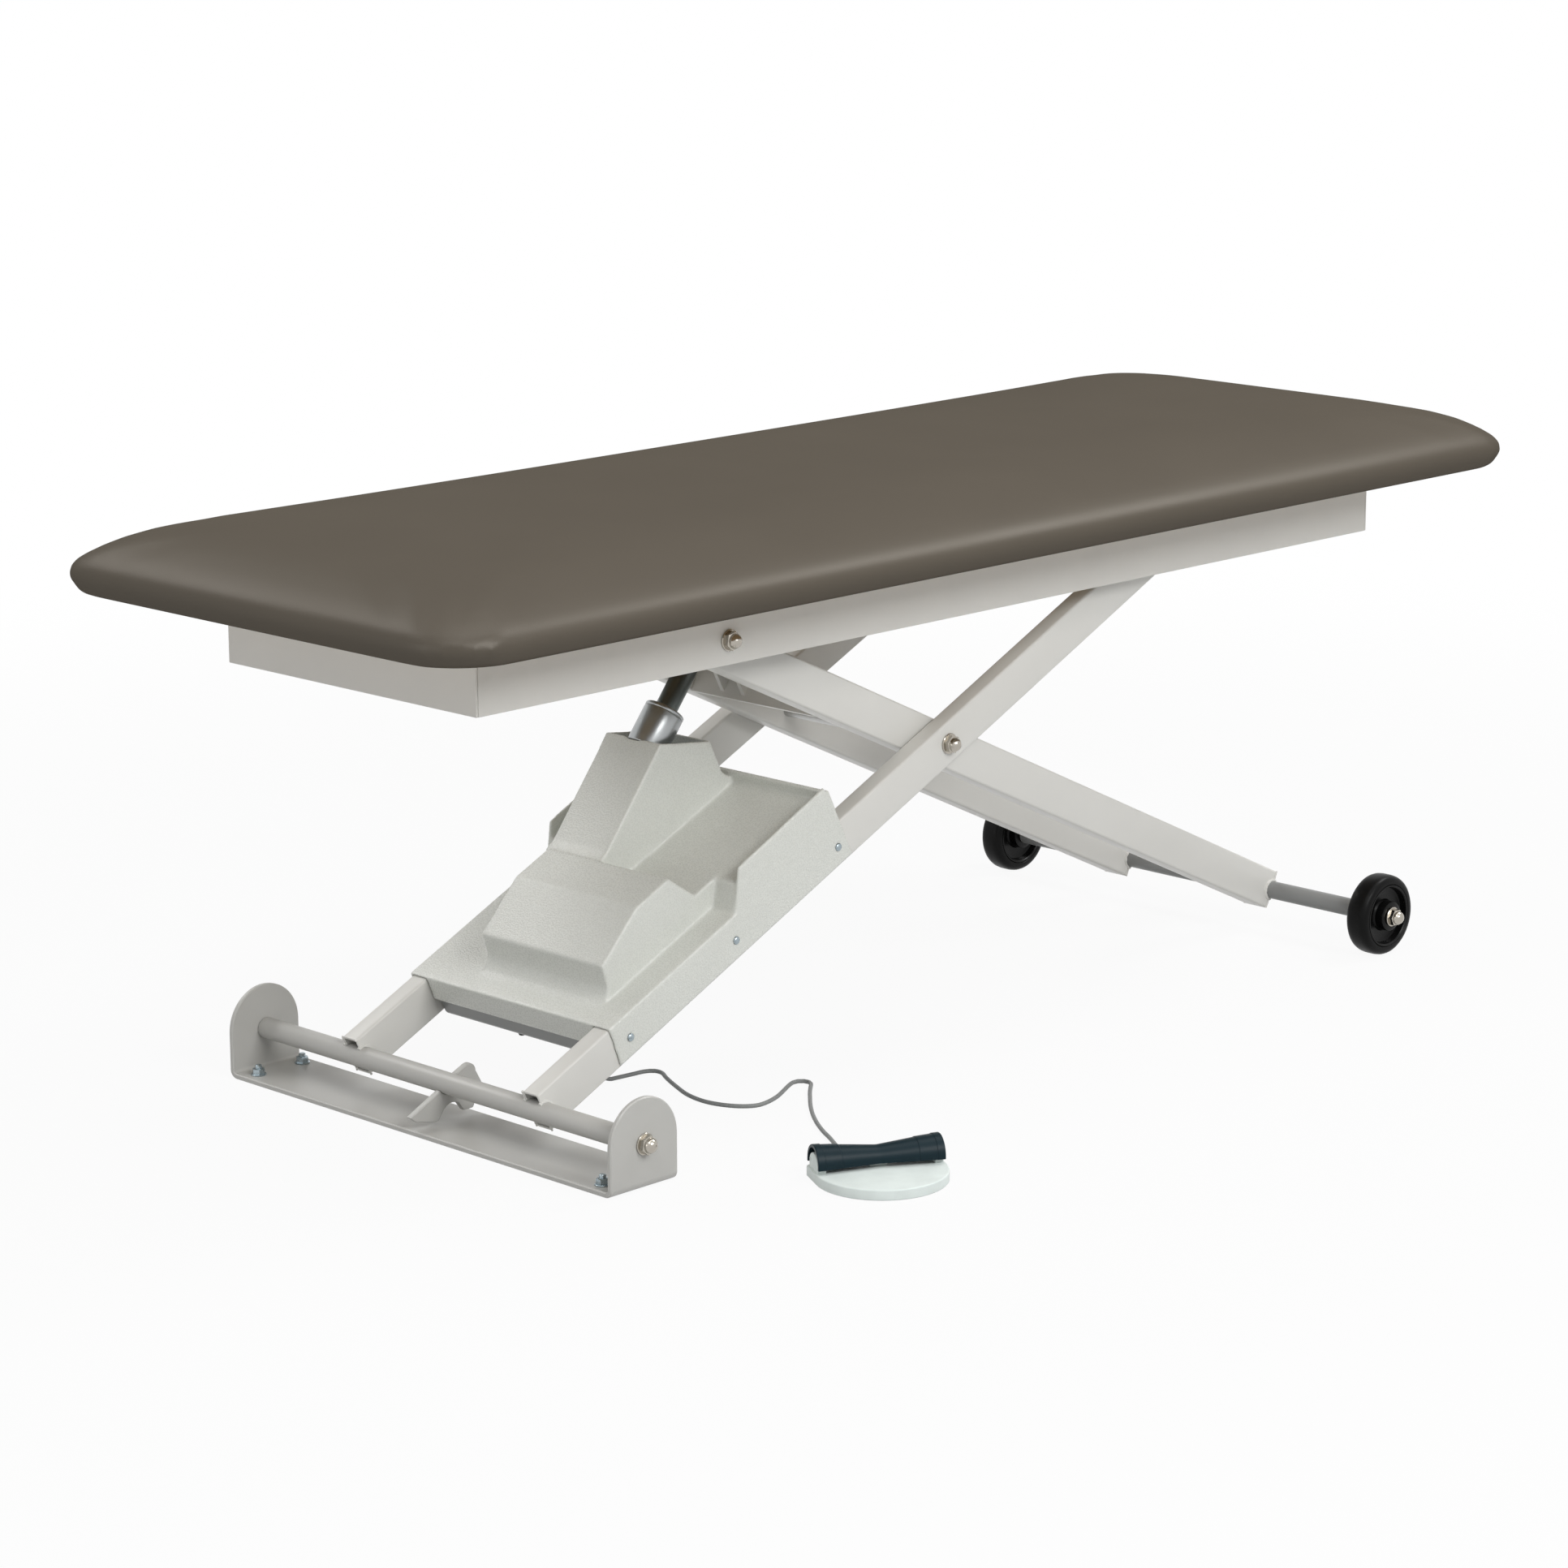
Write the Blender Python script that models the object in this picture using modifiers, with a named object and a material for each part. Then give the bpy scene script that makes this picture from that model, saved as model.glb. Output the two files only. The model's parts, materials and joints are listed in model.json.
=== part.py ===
"""Electric examination table.

A padded top on an X-shaped lift. The outer arms turn on a shaft in the base bracket, the inner arms
roll on two floor wheels, and a linear actuator under a moulded cover spreads the two pairs of arms.
A foot switch on a cord works the actuator.

Metres, +Z up, floor at z = 0. +X runs from the base bracket to the wheels. x = 0 and y = 0 are on the
base shaft's axis and on the lift's plane of symmetry. "Near" is the -Y side, "far" the +Y side.
"""
import math

import bmesh
import bpy
from mathutils import Matrix, Vector

OBJECT_NAME = "electric_examination_table"

# Fits
SEAT_GAP = 0.0003
RUNNING_GAP = 0.0006

# Lift linkage
PIVOT_HEIGHT = 0.052
ARM_LOWER = 0.728
ARM_UPPER = 0.451
REST_ANGLE = math.radians(25.2)

# Arm tubes
ARM_DEPTH = 0.050
ARM_WALL = 0.0025
OUTER_ARM_FACE = 0.166
OUTER_ARM_WIDTH = 0.025
INNER_ARM_WIDTH = 0.036
ARM_SIDE_GAP = 0.0035
ARM_END_MARGIN = 0.020

# Shafts, bolts and nuts
SHAFT_RADIUS = 0.0125
PIVOT_BOLT_RADIUS = 0.006
PIVOT_BOLT_REACH = 0.024
CROSS_ROD_RADIUS = 0.008
CROSS_COLLAR_RADIUS = 0.016
NUT_RADIUS = 0.0105
NUT_HEIGHT = 0.007
NUT_DOME = 0.008
NUT_DOME_SHARE = 0.86
NUT_WASHER_RADIUS = 0.0125
NUT_WASHER_HEIGHT = 0.002

# Base bracket
BASE_WIDTH = 0.649
BASE_DEPTH = 0.1007
BASE_PLATE = 0.0063
BASE_BEND = 0.010
EAR_HEIGHT = 0.1044
STUD_X = 0.033
STUD_INSET = 0.0315
STUD_RADIUS = 0.004
STUD_HEIGHT = 0.0185
STUD_NUT_RADIUS = 0.0072
STUD_NUT_HEIGHT = 0.0065
STUD_WASHER_RADIUS = 0.0092
STUD_WASHER_HEIGHT = 0.0016

# Stop lug under the base shaft: forward and back from the shaft's axis, and below or above it
LUG_THICKNESS = 0.008
LUG_TOE = 0.056
LUG_TOE_DROP = 0.029
LUG_SOLE = 0.048
LUG_SOLE_DROP = 0.0355
LUG_FOOT_FRONT = 0.022
LUG_FOOT_BACK = 0.014
LUG_FOOT_DROP = 0.0415
LUG_ARCH_BACK = 0.007
LUG_ARCH_RADIUS = 0.017
LUG_ARCH_ENDS = (150, 55)
LUG_HEEL_FRONT = 0.024
LUG_HEEL_BACK = 0.038
LUG_HEEL_DROP = 0.0375
LUG_BACK = 0.052
LUG_BACK_DROP = 0.010
LUG_PEAK_RISE = 0.016
LUG_PEAK_RADIUS = 0.010
LUG_PEAK_ENDS = (0, 120)
LUG_NAPE = 0.004
LUG_RAMP = 0.013
LUG_RAMP_DROP = 0.008

# Wheels on the inner arms
WHEEL_WIDTH = 0.032
WHEEL_FACE = 0.329
WHEEL_BORE = 0.008
WHEEL_TYRE = 0.012
WHEEL_TYRE_EDGE = 0.004
WHEEL_RIM_WALL = 0.004
WHEEL_WEB = 0.012
WHEEL_HUB_RADIUS = 0.019
WHEEL_HUB_LENGTH = 0.040
AXLE_RADIUS = 0.0115

# Frame under the pad
RAIL_FACE = 0.2068
RAIL_HEIGHT = 0.0827
RAIL_WALL = 0.003
RAIL_FLANGE = 0.034
END_PLATE = 0.003
ROLLER_RADIUS = 0.025
ROLLER_WIDTH = 0.024
ROLLER_BORE = 0.007
ROLLER_COLLAR = 0.0112
ROLLER_EDGE = 0.002
ROLLER_SIDE_GAP = 0.0035

# Pad and board
PAD_LENGTH = 1.829
PAD_WIDTH = 0.686
PAD_THICKNESS = 0.082
PAD_EDGE_HEIGHT = 0.021
PAD_UNDERCUT = 0.010
PAD_CROWN_REACH = 0.22
PAD_CROWN_POWER = 2.2
PAD_CORNER_RADIUS = 0.075
PAD_CORNER_GROWTH = 0.25
PAD_CORNER_LIMIT = 0.9
PAD_CENTRE_FROM_PIVOT = 0.389
PAD_OVERHANG_BASE = 0.1519
PAD_OVERHANG_WHEEL = 0.1491
BOARD_INSET = 0.045
BOARD_THICKNESS = 0.012
BOARD_REVEAL = 0.002

# Actuator, in the outer arms' frame: along the arm, across the arm
ACTUATOR_Y = 0.034
REAR_PIN_ALONG = 0.251
REAR_PIN_ABOVE = 0.042
ACTUATOR_TILT = math.radians(26.3)
ACTUATOR_LENGTH = 0.410
TUBE_END = 0.280
TUBE_RADIUS = 0.0185
COLLAR_RADIUS = 0.0245
COLLAR_LENGTH = 0.0525
COLLAR_CHAMFER = 0.003
COLLAR_CLEARANCE = 0.0028
ROD_RADIUS = 0.0135
ROD_LENGTH = 0.264
EYE_RADIUS = 0.016
EYE_WIDTH = 0.0274
EYE_ROOT = 0.004
PIN_RADIUS = 0.006
GEARBOX_START = 0.020
GEARBOX_LENGTH = 0.060
GEARBOX_HALF_WIDTH = 0.032
GEARBOX_ABOVE = 0.0185
GEARBOX_BELOW = 0.030
BORE_START = 0.034
MOTOR_RADIUS = 0.027
MOTOR_LENGTH = 0.116
MOTOR_ALONG = 0.040
MOTOR_BELOW = 0.012
MOTOR_CAP_LENGTH = 0.014
MOTOR_CAP_STEP = 0.003
MOUNT_PLATE = 0.008
MOUNT_PLATE_LENGTH = 0.060
LUG_PLATE = 0.006
LUG_RADIUS = 0.018

# Rod bracket on the inner arms
BRACKET_PLATE = 0.008
BRACKET_SETBACK = 0.070
BRACKET_LUG_ENDS = (-60, 125)
BRACKET_BOLT_RADIUS = 0.009
BRACKET_BOLT_HEAD = 0.006

# Cover over the actuator, in the outer arms' frame
COVER_WALL = 0.003
COVER_ROOT = 0.006
COVER_DRAFT = 0.0003
COVER_START = 0.119
COVER_END = 0.531
COVER_SKIRT = 0.022
COVER_LIP_DROP = 0.032
STEP_START = 0.341
STEP_RUN = 0.029
STEP_VALLEY_SHARE = 0.7
VALLEY_HEIGHT = 0.056
RIM_HEIGHT = 0.077
RIM_WIDTH = 0.006
FAR_LEDGE = 0.017
END_RIM_HEIGHT = 0.070
BOX_NEAR = -0.130
BOX_FAR = 0.074
BOX_FOOT = 0.145
BOX_COVE = 0.022
BOX_BULGE_HEIGHT = 0.0705
BOX_SLOPE_START = 0.169
BOX_SLOPE_END = 0.244
BOX_HEIGHT = 0.100
BOX_BACK = 0.300
BOX_BACK_RUN = 0.026
TOWER_HALF_WIDTH = 0.046
TOWER_FOOT = 0.316
TOWER_FRONT = 0.444
TOWER_HEIGHT = 0.1655
TOWER_BACK = 0.514
TOWER_BACK_HEIGHT = 0.122
TOWER_RIM = 0.004
COVER_SCREWS_ALONG = (0.142, 0.328, 0.514)
SCREW_RADIUS = 0.002
SCREW_HEAD_RADIUS = 0.0048
SCREW_HEAD_HEIGHT = 0.0026
SCREW_CROWN_RADIUS = 0.0029

# Control box and cord grips
CONTROL_START = 0.124
CONTROL_LENGTH = 0.075
CONTROL_TOP = 0.018
CONTROL_BOTTOM = 0.029
CONTROL_BEVEL = 0.004
INLET_ALONG = 0.137
INLET_Y = 0.020
INLET_RADIUS = 0.007
INLET_LENGTH = 0.007
INLET_SOCKET_RADIUS = 0.0042
GRIP_ALONG = 0.185
GRIP_Y = -0.010
GRIP_LENGTH = 0.020
GRIP_COLLAR = 0.004
GRIP_ROOT_RADIUS = 0.0065
GRIP_TIP_RADIUS = 0.0042

# Foot switch: its base's half disc is centred at SWITCH_CENTRE, with the hood behind it
SWITCH_CENTRE = (0.204, -0.4845)
SWITCH_TURN = math.radians(-28.7)
SWITCH_RADIUS = 0.0745
SWITCH_BACK = 0.0405
SWITCH_PLATE = 0.012
HOOD_HALF_LENGTH = 0.073
HOOD_BACK = 0.017
HOOD_AXIS_HEIGHT = 0.0195
HOOD_END_RADIUS = 0.0215
HOOD_WAIST_RADIUS = 0.0145
HOOD_WALL = 0.003
HOOD_LIFT = 0.005
CHEEK_LENGTH = 0.010
CHEEK_HALF_WIDTH = 0.0155
CHEEK_RISE = 0.012
POST_LENGTH = 0.020
POST_RADIUS = 0.0055
PEDAL_PIN_RADIUS = 0.002
SWITCH_GRIP_X = -0.0216
SWITCH_GRIP_HEIGHT = 0.0068

# Cord from the control box down to the floor, over the floor, and up to the foot switch, in world space
CORD_RADIUS = 0.0025
CORD_FLOOR_GAP = 0.0002
CORD_LEAD = 0.010
CORD_STEP = 0.011
CORD_DROP = ((0.206, -0.010, 0.055), (0.224, -0.0085, 0.018), (0.244, -0.0085, 0.004))
CORD_ON_FLOOR = (
    (0.262, -0.0105), (0.281, -0.013), (0.2965, -0.015), (0.3065, -0.022), (0.3068, -0.0345),
    (0.296, -0.0535), (0.280, -0.087), (0.268, -0.1165), (0.2632, -0.145), (0.2665, -0.169),
    (0.277, -0.1905), (0.293, -0.2035), (0.312, -0.2035), (0.335, -0.1965), (0.357, -0.1855),
    (0.3735, -0.1768), (0.3866, -0.1715), (0.3939, -0.1722), (0.3992, -0.1771), (0.4003, -0.1843),
    (0.3968, -0.1907), (0.3885, -0.1982), (0.3745, -0.2106), (0.3582, -0.2265), (0.337, -0.2478),
    (0.315, -0.2725), (0.2945, -0.299), (0.277, -0.3258), (0.264, -0.349), (0.251, -0.370),
)
CORD_RISE = (0.240, -0.388, 0.004)

# Facets
FINE = 32
MEDIUM = 20
COARSE = 12
NUT_SIDES = 6
ARC_STEPS = 8
DOME_STEPS = 4
CORD_BEVEL_STEPS = 2
PAD_CORNER_STEPS = 7
PAD_EDGE_RINGS = 3
PAD_CROWN_RINGS = 6
SMOOTH_ANGLE = math.radians(35)
WELD = 0.00001

# Derived places. LEVEL turns a piece on an arm back to level with the floor at rest.
COS_REST = math.cos(REST_ANGLE)
SIN_REST = math.sin(REST_ANGLE)
LEVEL = (0, REST_ANGLE, 0)
WHEEL_RADIUS = PIVOT_HEIGHT
CROSS_PIVOT = Vector((ARM_LOWER * COS_REST, 0, PIVOT_HEIGHT + ARM_LOWER * SIN_REST))
TOP_PIVOT = Vector(((ARM_LOWER - ARM_UPPER) * COS_REST, 0,
                    PIVOT_HEIGHT + (ARM_LOWER + ARM_UPPER) * SIN_REST))
OUTER_ARM_INNER = OUTER_ARM_FACE - OUTER_ARM_WIDTH
INNER_ARM_FACE = OUTER_ARM_INNER - ARM_SIDE_GAP
INNER_ARM_INNER = INNER_ARM_FACE - INNER_ARM_WIDTH
ARM_HALF = ARM_DEPTH / 2
ARM_LENGTH = ARM_LOWER + ARM_UPPER
RAIL_BOTTOM = -ROLLER_RADIUS - RAIL_WALL - SEAT_GAP
RAIL_TOP = RAIL_BOTTOM + RAIL_HEIGHT
RAIL_START = PAD_CENTRE_FROM_PIVOT - PAD_LENGTH / 2 + PAD_OVERHANG_BASE
RAIL_END = PAD_CENTRE_FROM_PIVOT + PAD_LENGTH / 2 - PAD_OVERHANG_WHEEL
BOARD_BOTTOM = RAIL_TOP + SEAT_GAP
PAD_BOTTOM = BOARD_BOTTOM + BOARD_REVEAL
FLANGE_TOP = ARM_HALF + SEAT_GAP + COVER_WALL
SKIRT_FACE = OUTER_ARM_FACE + SEAT_GAP + COVER_WALL
LUG_SPACING = EYE_WIDTH / 2 + RUNNING_GAP
LUG_OUTER = LUG_SPACING + LUG_PLATE
ROD_START = ACTUATOR_LENGTH - EYE_RADIUS - SEAT_GAP - ROD_LENGTH
REAR_PIN = (REAR_PIN_ALONG, ACTUATOR_Y, REAR_PIN_ABOVE)


def clear_scene():
    for old in list(bpy.data.objects):
        bpy.data.objects.remove(old, do_unlink=True)


def new_collection(name):
    collection = bpy.data.collections.new(name)
    bpy.context.scene.collection.children.link(collection)
    return collection


clear_scene()
PARTS = new_collection(OBJECT_NAME)
CUTTERS = new_collection("cutters")


def new_material(name, colour, roughness, metallic=0.0):
    material = bpy.data.materials.new(name)
    material.use_nodes = True
    shader = material.node_tree.nodes["Principled BSDF"]
    shader.inputs["Base Color"].default_value = (*colour, 1.0)
    shader.inputs["Roughness"].default_value = roughness
    shader.inputs["Metallic"].default_value = metallic
    return material


FRAME_PAINT = new_material("frame_paint", (0.58, 0.57, 0.54), 0.45)
BASE_PAINT = new_material("base_paint", (0.55, 0.545, 0.52), 0.45)
MID_GREY_PAINT = new_material("mid_grey_paint", (0.30, 0.305, 0.30), 0.45)
COVER_PLASTIC = new_material("cover_plastic", (0.58, 0.60, 0.55), 0.5)
BLACK_PLASTIC = new_material("black_plastic", (0.02, 0.02, 0.022), 0.5)
WHEEL_RUBBER = new_material("wheel_rubber", (0.015, 0.015, 0.016), 0.6)
PAD_VINYL = new_material("pad_vinyl", (0.11, 0.092, 0.078), 0.45)
PLYWOOD = new_material("plywood", (0.52, 0.38, 0.22), 0.7)
NICKEL = new_material("nickel", (0.55, 0.50, 0.43), 0.2, 1.0)
ZINC = new_material("zinc", (0.50, 0.55, 0.60), 0.3, 1.0)
SILVER = new_material("collar_silver", (0.60, 0.64, 0.66), 0.3, 1.0)
DARK_STEEL = new_material("rod_steel", (0.18, 0.20, 0.21), 0.35, 1.0)
STEEL = new_material("plain_steel", (0.45, 0.45, 0.45), 0.4, 1.0)
SLATE_PLASTIC = new_material("slate_plastic", (0.022, 0.030, 0.038), 0.5)
PALE_PLASTIC = new_material("pale_plastic", (0.62, 0.66, 0.62), 0.5)
CORD_GREY = new_material("cord_grey", (0.22, 0.22, 0.22), 0.5)


# Frames: empties on the joint axes, which carry the pieces that turn there
def new_frame(name, location, rotation=(0, 0, 0), parent=None):
    frame = bpy.data.objects.new(name, None)
    frame.location = location
    frame.rotation_euler = rotation
    frame.parent = parent
    PARTS.objects.link(frame)
    return frame


OUTER = new_frame("base_shaft_axis", (0, 0, PIVOT_HEIGHT), (0, -REST_ANGLE, 0))
INNER = new_frame("cross_pivot_axis", CROSS_PIVOT, (0, -REST_ANGLE, math.pi))
TOP = new_frame("top_pivot_axis", TOP_PIVOT)
ACTUATOR = new_frame("rear_pin_axis", REAR_PIN, (0, -ACTUATOR_TILT, 0), OUTER)
SWITCH = new_frame("foot_switch_frame", (*SWITCH_CENTRE, 0), (0, 0, SWITCH_TURN))


# Meshes
def box_mesh(low, high):
    """A box between two corners."""
    low, high = Vector(low), Vector(high)
    bm = bmesh.new()
    bmesh.ops.create_cube(bm, size=1)
    bmesh.ops.scale(bm, vec=high - low, verts=bm.verts)
    bmesh.ops.translate(bm, vec=(low + high) / 2, verts=bm.verts)
    return to_mesh(bm)


def rods_mesh(axis, radius, start, end, centres, sides=MEDIUM):
    """Round bars along one axis, each through a centre on the plane across that axis."""
    turn = {"X": Matrix.Rotation(math.pi / 2, 4, "Y"), "Y": Matrix.Rotation(-math.pi / 2, 4, "X"),
            "Z": Matrix.Identity(4)}[axis]
    along = {"X": Vector((1, 0, 0)), "Y": Vector((0, 1, 0)), "Z": Vector((0, 0, 1))}[axis]
    bm = bmesh.new()
    for centre in centres:
        place = Matrix.Translation(Vector(centre) + along * (start + end) / 2) @ turn
        bmesh.ops.create_cone(bm, cap_ends=True, segments=sides, radius1=radius, radius2=radius,
                              depth=end - start, matrix=place)
    return to_mesh(bm, smooth=True)


def to_mesh(bm, smooth=False):
    mesh = bpy.data.meshes.new("mesh")
    bm.to_mesh(mesh)
    bm.free()
    if smooth:
        smooth_round(mesh)
    return mesh


def smooth_round(mesh):
    mesh.shade_smooth()
    mesh.set_sharp_from_angle(angle=SMOOTH_ANGLE)


def evaluated_mesh(obj):
    """The mesh of an object with its modifiers, welded. The object is removed."""
    bpy.context.view_layer.update()
    depsgraph = bpy.context.evaluated_depsgraph_get()
    mesh = bpy.data.meshes.new_from_object(obj.evaluated_get(depsgraph))
    bpy.data.objects.remove(obj, do_unlink=True)
    bm = bmesh.new()
    bm.from_mesh(mesh)
    bmesh.ops.remove_doubles(bm, verts=bm.verts, dist=WELD)
    bm.to_mesh(mesh)
    bm.free()
    return mesh


PLANES = {
    "XZ": Matrix(((1, 0, 0, 0), (0, 0, -1, 0), (0, 1, 0, 0), (0, 0, 0, 1))),
    "YZ": Matrix(((0, 0, 1, 0), (1, 0, 0, 0), (0, 1, 0, 0), (0, 0, 0, 1))),
    "XY": Matrix.Identity(4),
}


def plate_mesh(outline, plane, start, end):
    """A flat outline in one plane, thick from start to end along the axis across it."""
    curve = bpy.data.curves.new("outline", "CURVE")
    curve.dimensions = "2D"
    curve.fill_mode = "BOTH"
    curve.extrude = (end - start) / 2
    spline = curve.splines.new("POLY")
    spline.points.add(len(outline) - 1)
    for point, (u, v) in zip(spline.points, outline):
        point.co = (u, v, 0, 1)
    spline.use_cyclic_u = True
    holder = bpy.data.objects.new("outline", curve)
    PARTS.objects.link(holder)
    mesh = evaluated_mesh(holder)
    middle = (start + end) / 2
    offset = {"XZ": (0, middle, 0), "YZ": (middle, 0, 0), "XY": (0, 0, middle)}[plane]
    mesh.transform(Matrix.Translation(offset) @ PLANES[plane])
    return mesh


def turned_mesh(profile, sides=MEDIUM, axis="Z"):
    """A turned solid from its (radius, height) profile, listed from the top down the outside."""
    bm = bmesh.new()
    verts = [bm.verts.new((radius, 0, height)) for radius, height in profile]
    for first, second in zip(verts, verts[1:]):
        bm.edges.new((first, second))
    holder = bpy.data.objects.new("profile", to_mesh(bm))
    PARTS.objects.link(holder)
    screw = holder.modifiers.new("turn", "SCREW")
    screw.steps = sides
    screw.render_steps = sides
    screw.use_merge_vertices = True
    screw.merge_threshold = WELD
    mesh = evaluated_mesh(holder)
    turn = {"Z": Matrix.Identity(4), "Y": Matrix.Rotation(-math.pi / 2, 4, "X"),
            "X": Matrix.Rotation(math.pi / 2, 4, "Y")}[axis]
    mesh.transform(turn)
    smooth_round(mesh)
    return mesh


def arc(centre, radius, start_degrees, end_degrees, steps=ARC_STEPS):
    """Points of an arc, both ends included."""
    points = []
    for step in range(steps + 1):
        angle = math.radians(start_degrees + (end_degrees - start_degrees) * step / steps)
        points.append((centre[0] + radius * math.cos(angle), centre[1] + radius * math.sin(angle)))
    return points


def inset(outline, distance):
    """The outline moved inwards. It is listed anticlockwise."""
    moved = []
    count = len(outline)
    for index in range(count):
        before, here, after = (Vector(outline[(index + shift) % count]) for shift in (-1, 0, 1))
        first = (here - before).normalized()
        second = (after - here).normalized()
        first_normal = Vector((-first.y, first.x))
        second_normal = Vector((-second.y, second.x))
        bisector = first_normal + second_normal
        moved.append(tuple(here + bisector * distance / (1 + first_normal.dot(second_normal))))
    return moved


def outer_point(along, above):
    """World point in the plane of symmetry from a place in the outer arms' frame."""
    return Vector((along * COS_REST - above * SIN_REST, 0,
                   PIVOT_HEIGHT + along * SIN_REST + above * COS_REST))


# Objects
def add_part(name, mesh, material, parent=None, location=(0, 0, 0), rotation=(0, 0, 0)):
    obj = bpy.data.objects.new(name, mesh)
    mesh.materials.clear()
    mesh.materials.append(material)
    obj.parent = parent
    obj.location = location
    obj.rotation_euler = rotation
    PARTS.objects.link(obj)
    return obj


def add_cutter(name, mesh, parent=None, location=(0, 0, 0)):
    obj = bpy.data.objects.new(name, mesh)
    obj.parent = parent
    obj.location = location
    obj.hide_render = True
    obj.display_type = "WIRE"
    CUTTERS.objects.link(obj)
    return obj


def combine(obj, tool, operation):
    boolean = obj.modifiers.new(tool.name, "BOOLEAN")
    boolean.operation = operation
    boolean.solver = "EXACT"
    boolean.object = tool


def cut(obj, tool):
    combine(obj, tool, "DIFFERENCE")


def fuse(obj, tool):
    combine(obj, tool, "UNION")


def round_edges(obj, width, segments=2):
    bevel = obj.modifiers.new("rounded_edges", "BEVEL")
    bevel.width = width
    bevel.segments = segments
    bevel.limit_method = "ANGLE"


def nut_profile(stem_radius, stem_length):
    """A domed nut on its washer, with the seat at height 0 and a stem below it."""
    washer = SEAT_GAP + NUT_WASHER_HEIGHT
    shoulder = washer + NUT_HEIGHT
    foot = NUT_RADIUS * NUT_DOME_SHARE
    dome = []
    for step in range(DOME_STEPS):
        angle = step / DOME_STEPS * math.pi / 2
        dome.append((foot * math.sin(angle), shoulder + NUT_DOME * math.cos(angle)))
    outside = [(foot, shoulder), (NUT_RADIUS, shoulder), (NUT_RADIUS, washer),
               (NUT_WASHER_RADIUS, washer), (NUT_WASHER_RADIUS, SEAT_GAP)]
    if not stem_length:
        return dome + outside + [(0, SEAT_GAP)]
    return dome + outside + [(stem_radius, SEAT_GAP), (stem_radius, -stem_length), (0, -stem_length)]


def add_pair(name, profile, material, parent, place, sides=COARSE):
    """A turned piece on each side, standing outwards at (x, distance from the middle, z)."""
    x, distance, z = place
    # The inner arms' frame has its Y axis to the near side.
    far_sign = -1 if parent == INNER else 1
    for side, sign in (("near", -far_sign), ("far", far_sign)):
        turn = (-sign * math.pi / 2, 0, 0)
        mesh = turned_mesh(profile, sides)
        add_part(name + "_" + side, mesh, material, parent, (x, sign * distance, z), turn)


# Base bracket: one plate bent up into two round-topped ears
def make_base():
    half = BASE_WIDTH / 2
    inner_bend = BASE_BEND - BASE_PLATE
    near_bend = (-half + BASE_BEND, BASE_BEND)
    far_bend = (half - BASE_BEND, BASE_BEND)
    outline = [(-half, EAR_HEIGHT)]
    outline += arc(near_bend, BASE_BEND, 180, 270)
    outline += arc(far_bend, BASE_BEND, 270, 360)
    outline += [(half, EAR_HEIGHT), (half - BASE_PLATE, EAR_HEIGHT)]
    outline += arc(far_bend, inner_bend, 360, 270)
    outline += arc(near_bend, inner_bend, 270, 180)
    outline += [(-half + BASE_PLATE, EAR_HEIGHT)]
    mesh = plate_mesh(outline, "YZ", -BASE_DEPTH / 2, BASE_DEPTH / 2)
    bracket = add_part("base_bracket", mesh, BASE_PAINT)

    ear_radius = BASE_DEPTH / 2
    margin = BASE_PLATE
    arch = [(-ear_radius, -margin), (ear_radius, -margin)]
    arch += arc((0, EAR_HEIGHT - ear_radius), ear_radius, 0, 180, 2 * ARC_STEPS)
    shape = add_cutter("ear_shape", plate_mesh(arch, "XZ", -half - margin, half + margin))
    combine(bracket, shape, "INTERSECT")

    reach = half + margin
    bolt_hole = rods_mesh("Y", PIVOT_BOLT_RADIUS + SEAT_GAP, -reach, reach, [(0, 0, PIVOT_HEIGHT)])
    cut(bracket, add_cutter("ear_bolt_hole", bolt_hole))
    corners = [(x, y, 0) for x in (-STUD_X, STUD_X) for y in (-half + STUD_INSET, half - STUD_INSET)]
    holes = rods_mesh("Z", STUD_RADIUS + SEAT_GAP, -margin, BASE_PLATE + margin, corners, COARSE)
    cut(bracket, add_cutter("stud_holes", holes))

    washer_top = BASE_PLATE + SEAT_GAP + STUD_WASHER_HEIGHT
    nut_top = washer_top + STUD_NUT_HEIGHT
    profile = [(0, STUD_HEIGHT), (STUD_RADIUS, STUD_HEIGHT), (STUD_RADIUS, nut_top),
               (STUD_NUT_RADIUS, nut_top), (STUD_NUT_RADIUS, washer_top), (STUD_WASHER_RADIUS, washer_top),
               (STUD_WASHER_RADIUS, BASE_PLATE + SEAT_GAP), (STUD_RADIUS, BASE_PLATE + SEAT_GAP),
               (STUD_RADIUS, SEAT_GAP), (0, SEAT_GAP)]
    for number, corner in enumerate(corners, 1):
        add_part("base_stud_" + str(number), turned_mesh(profile, COARSE), ZINC, None, corner)
    bolt = nut_profile(PIVOT_BOLT_RADIUS, BASE_PLATE + PIVOT_BOLT_REACH)
    add_pair("base_pivot_bolt", bolt, NICKEL, None, (0, half, PIVOT_HEIGHT))


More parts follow.
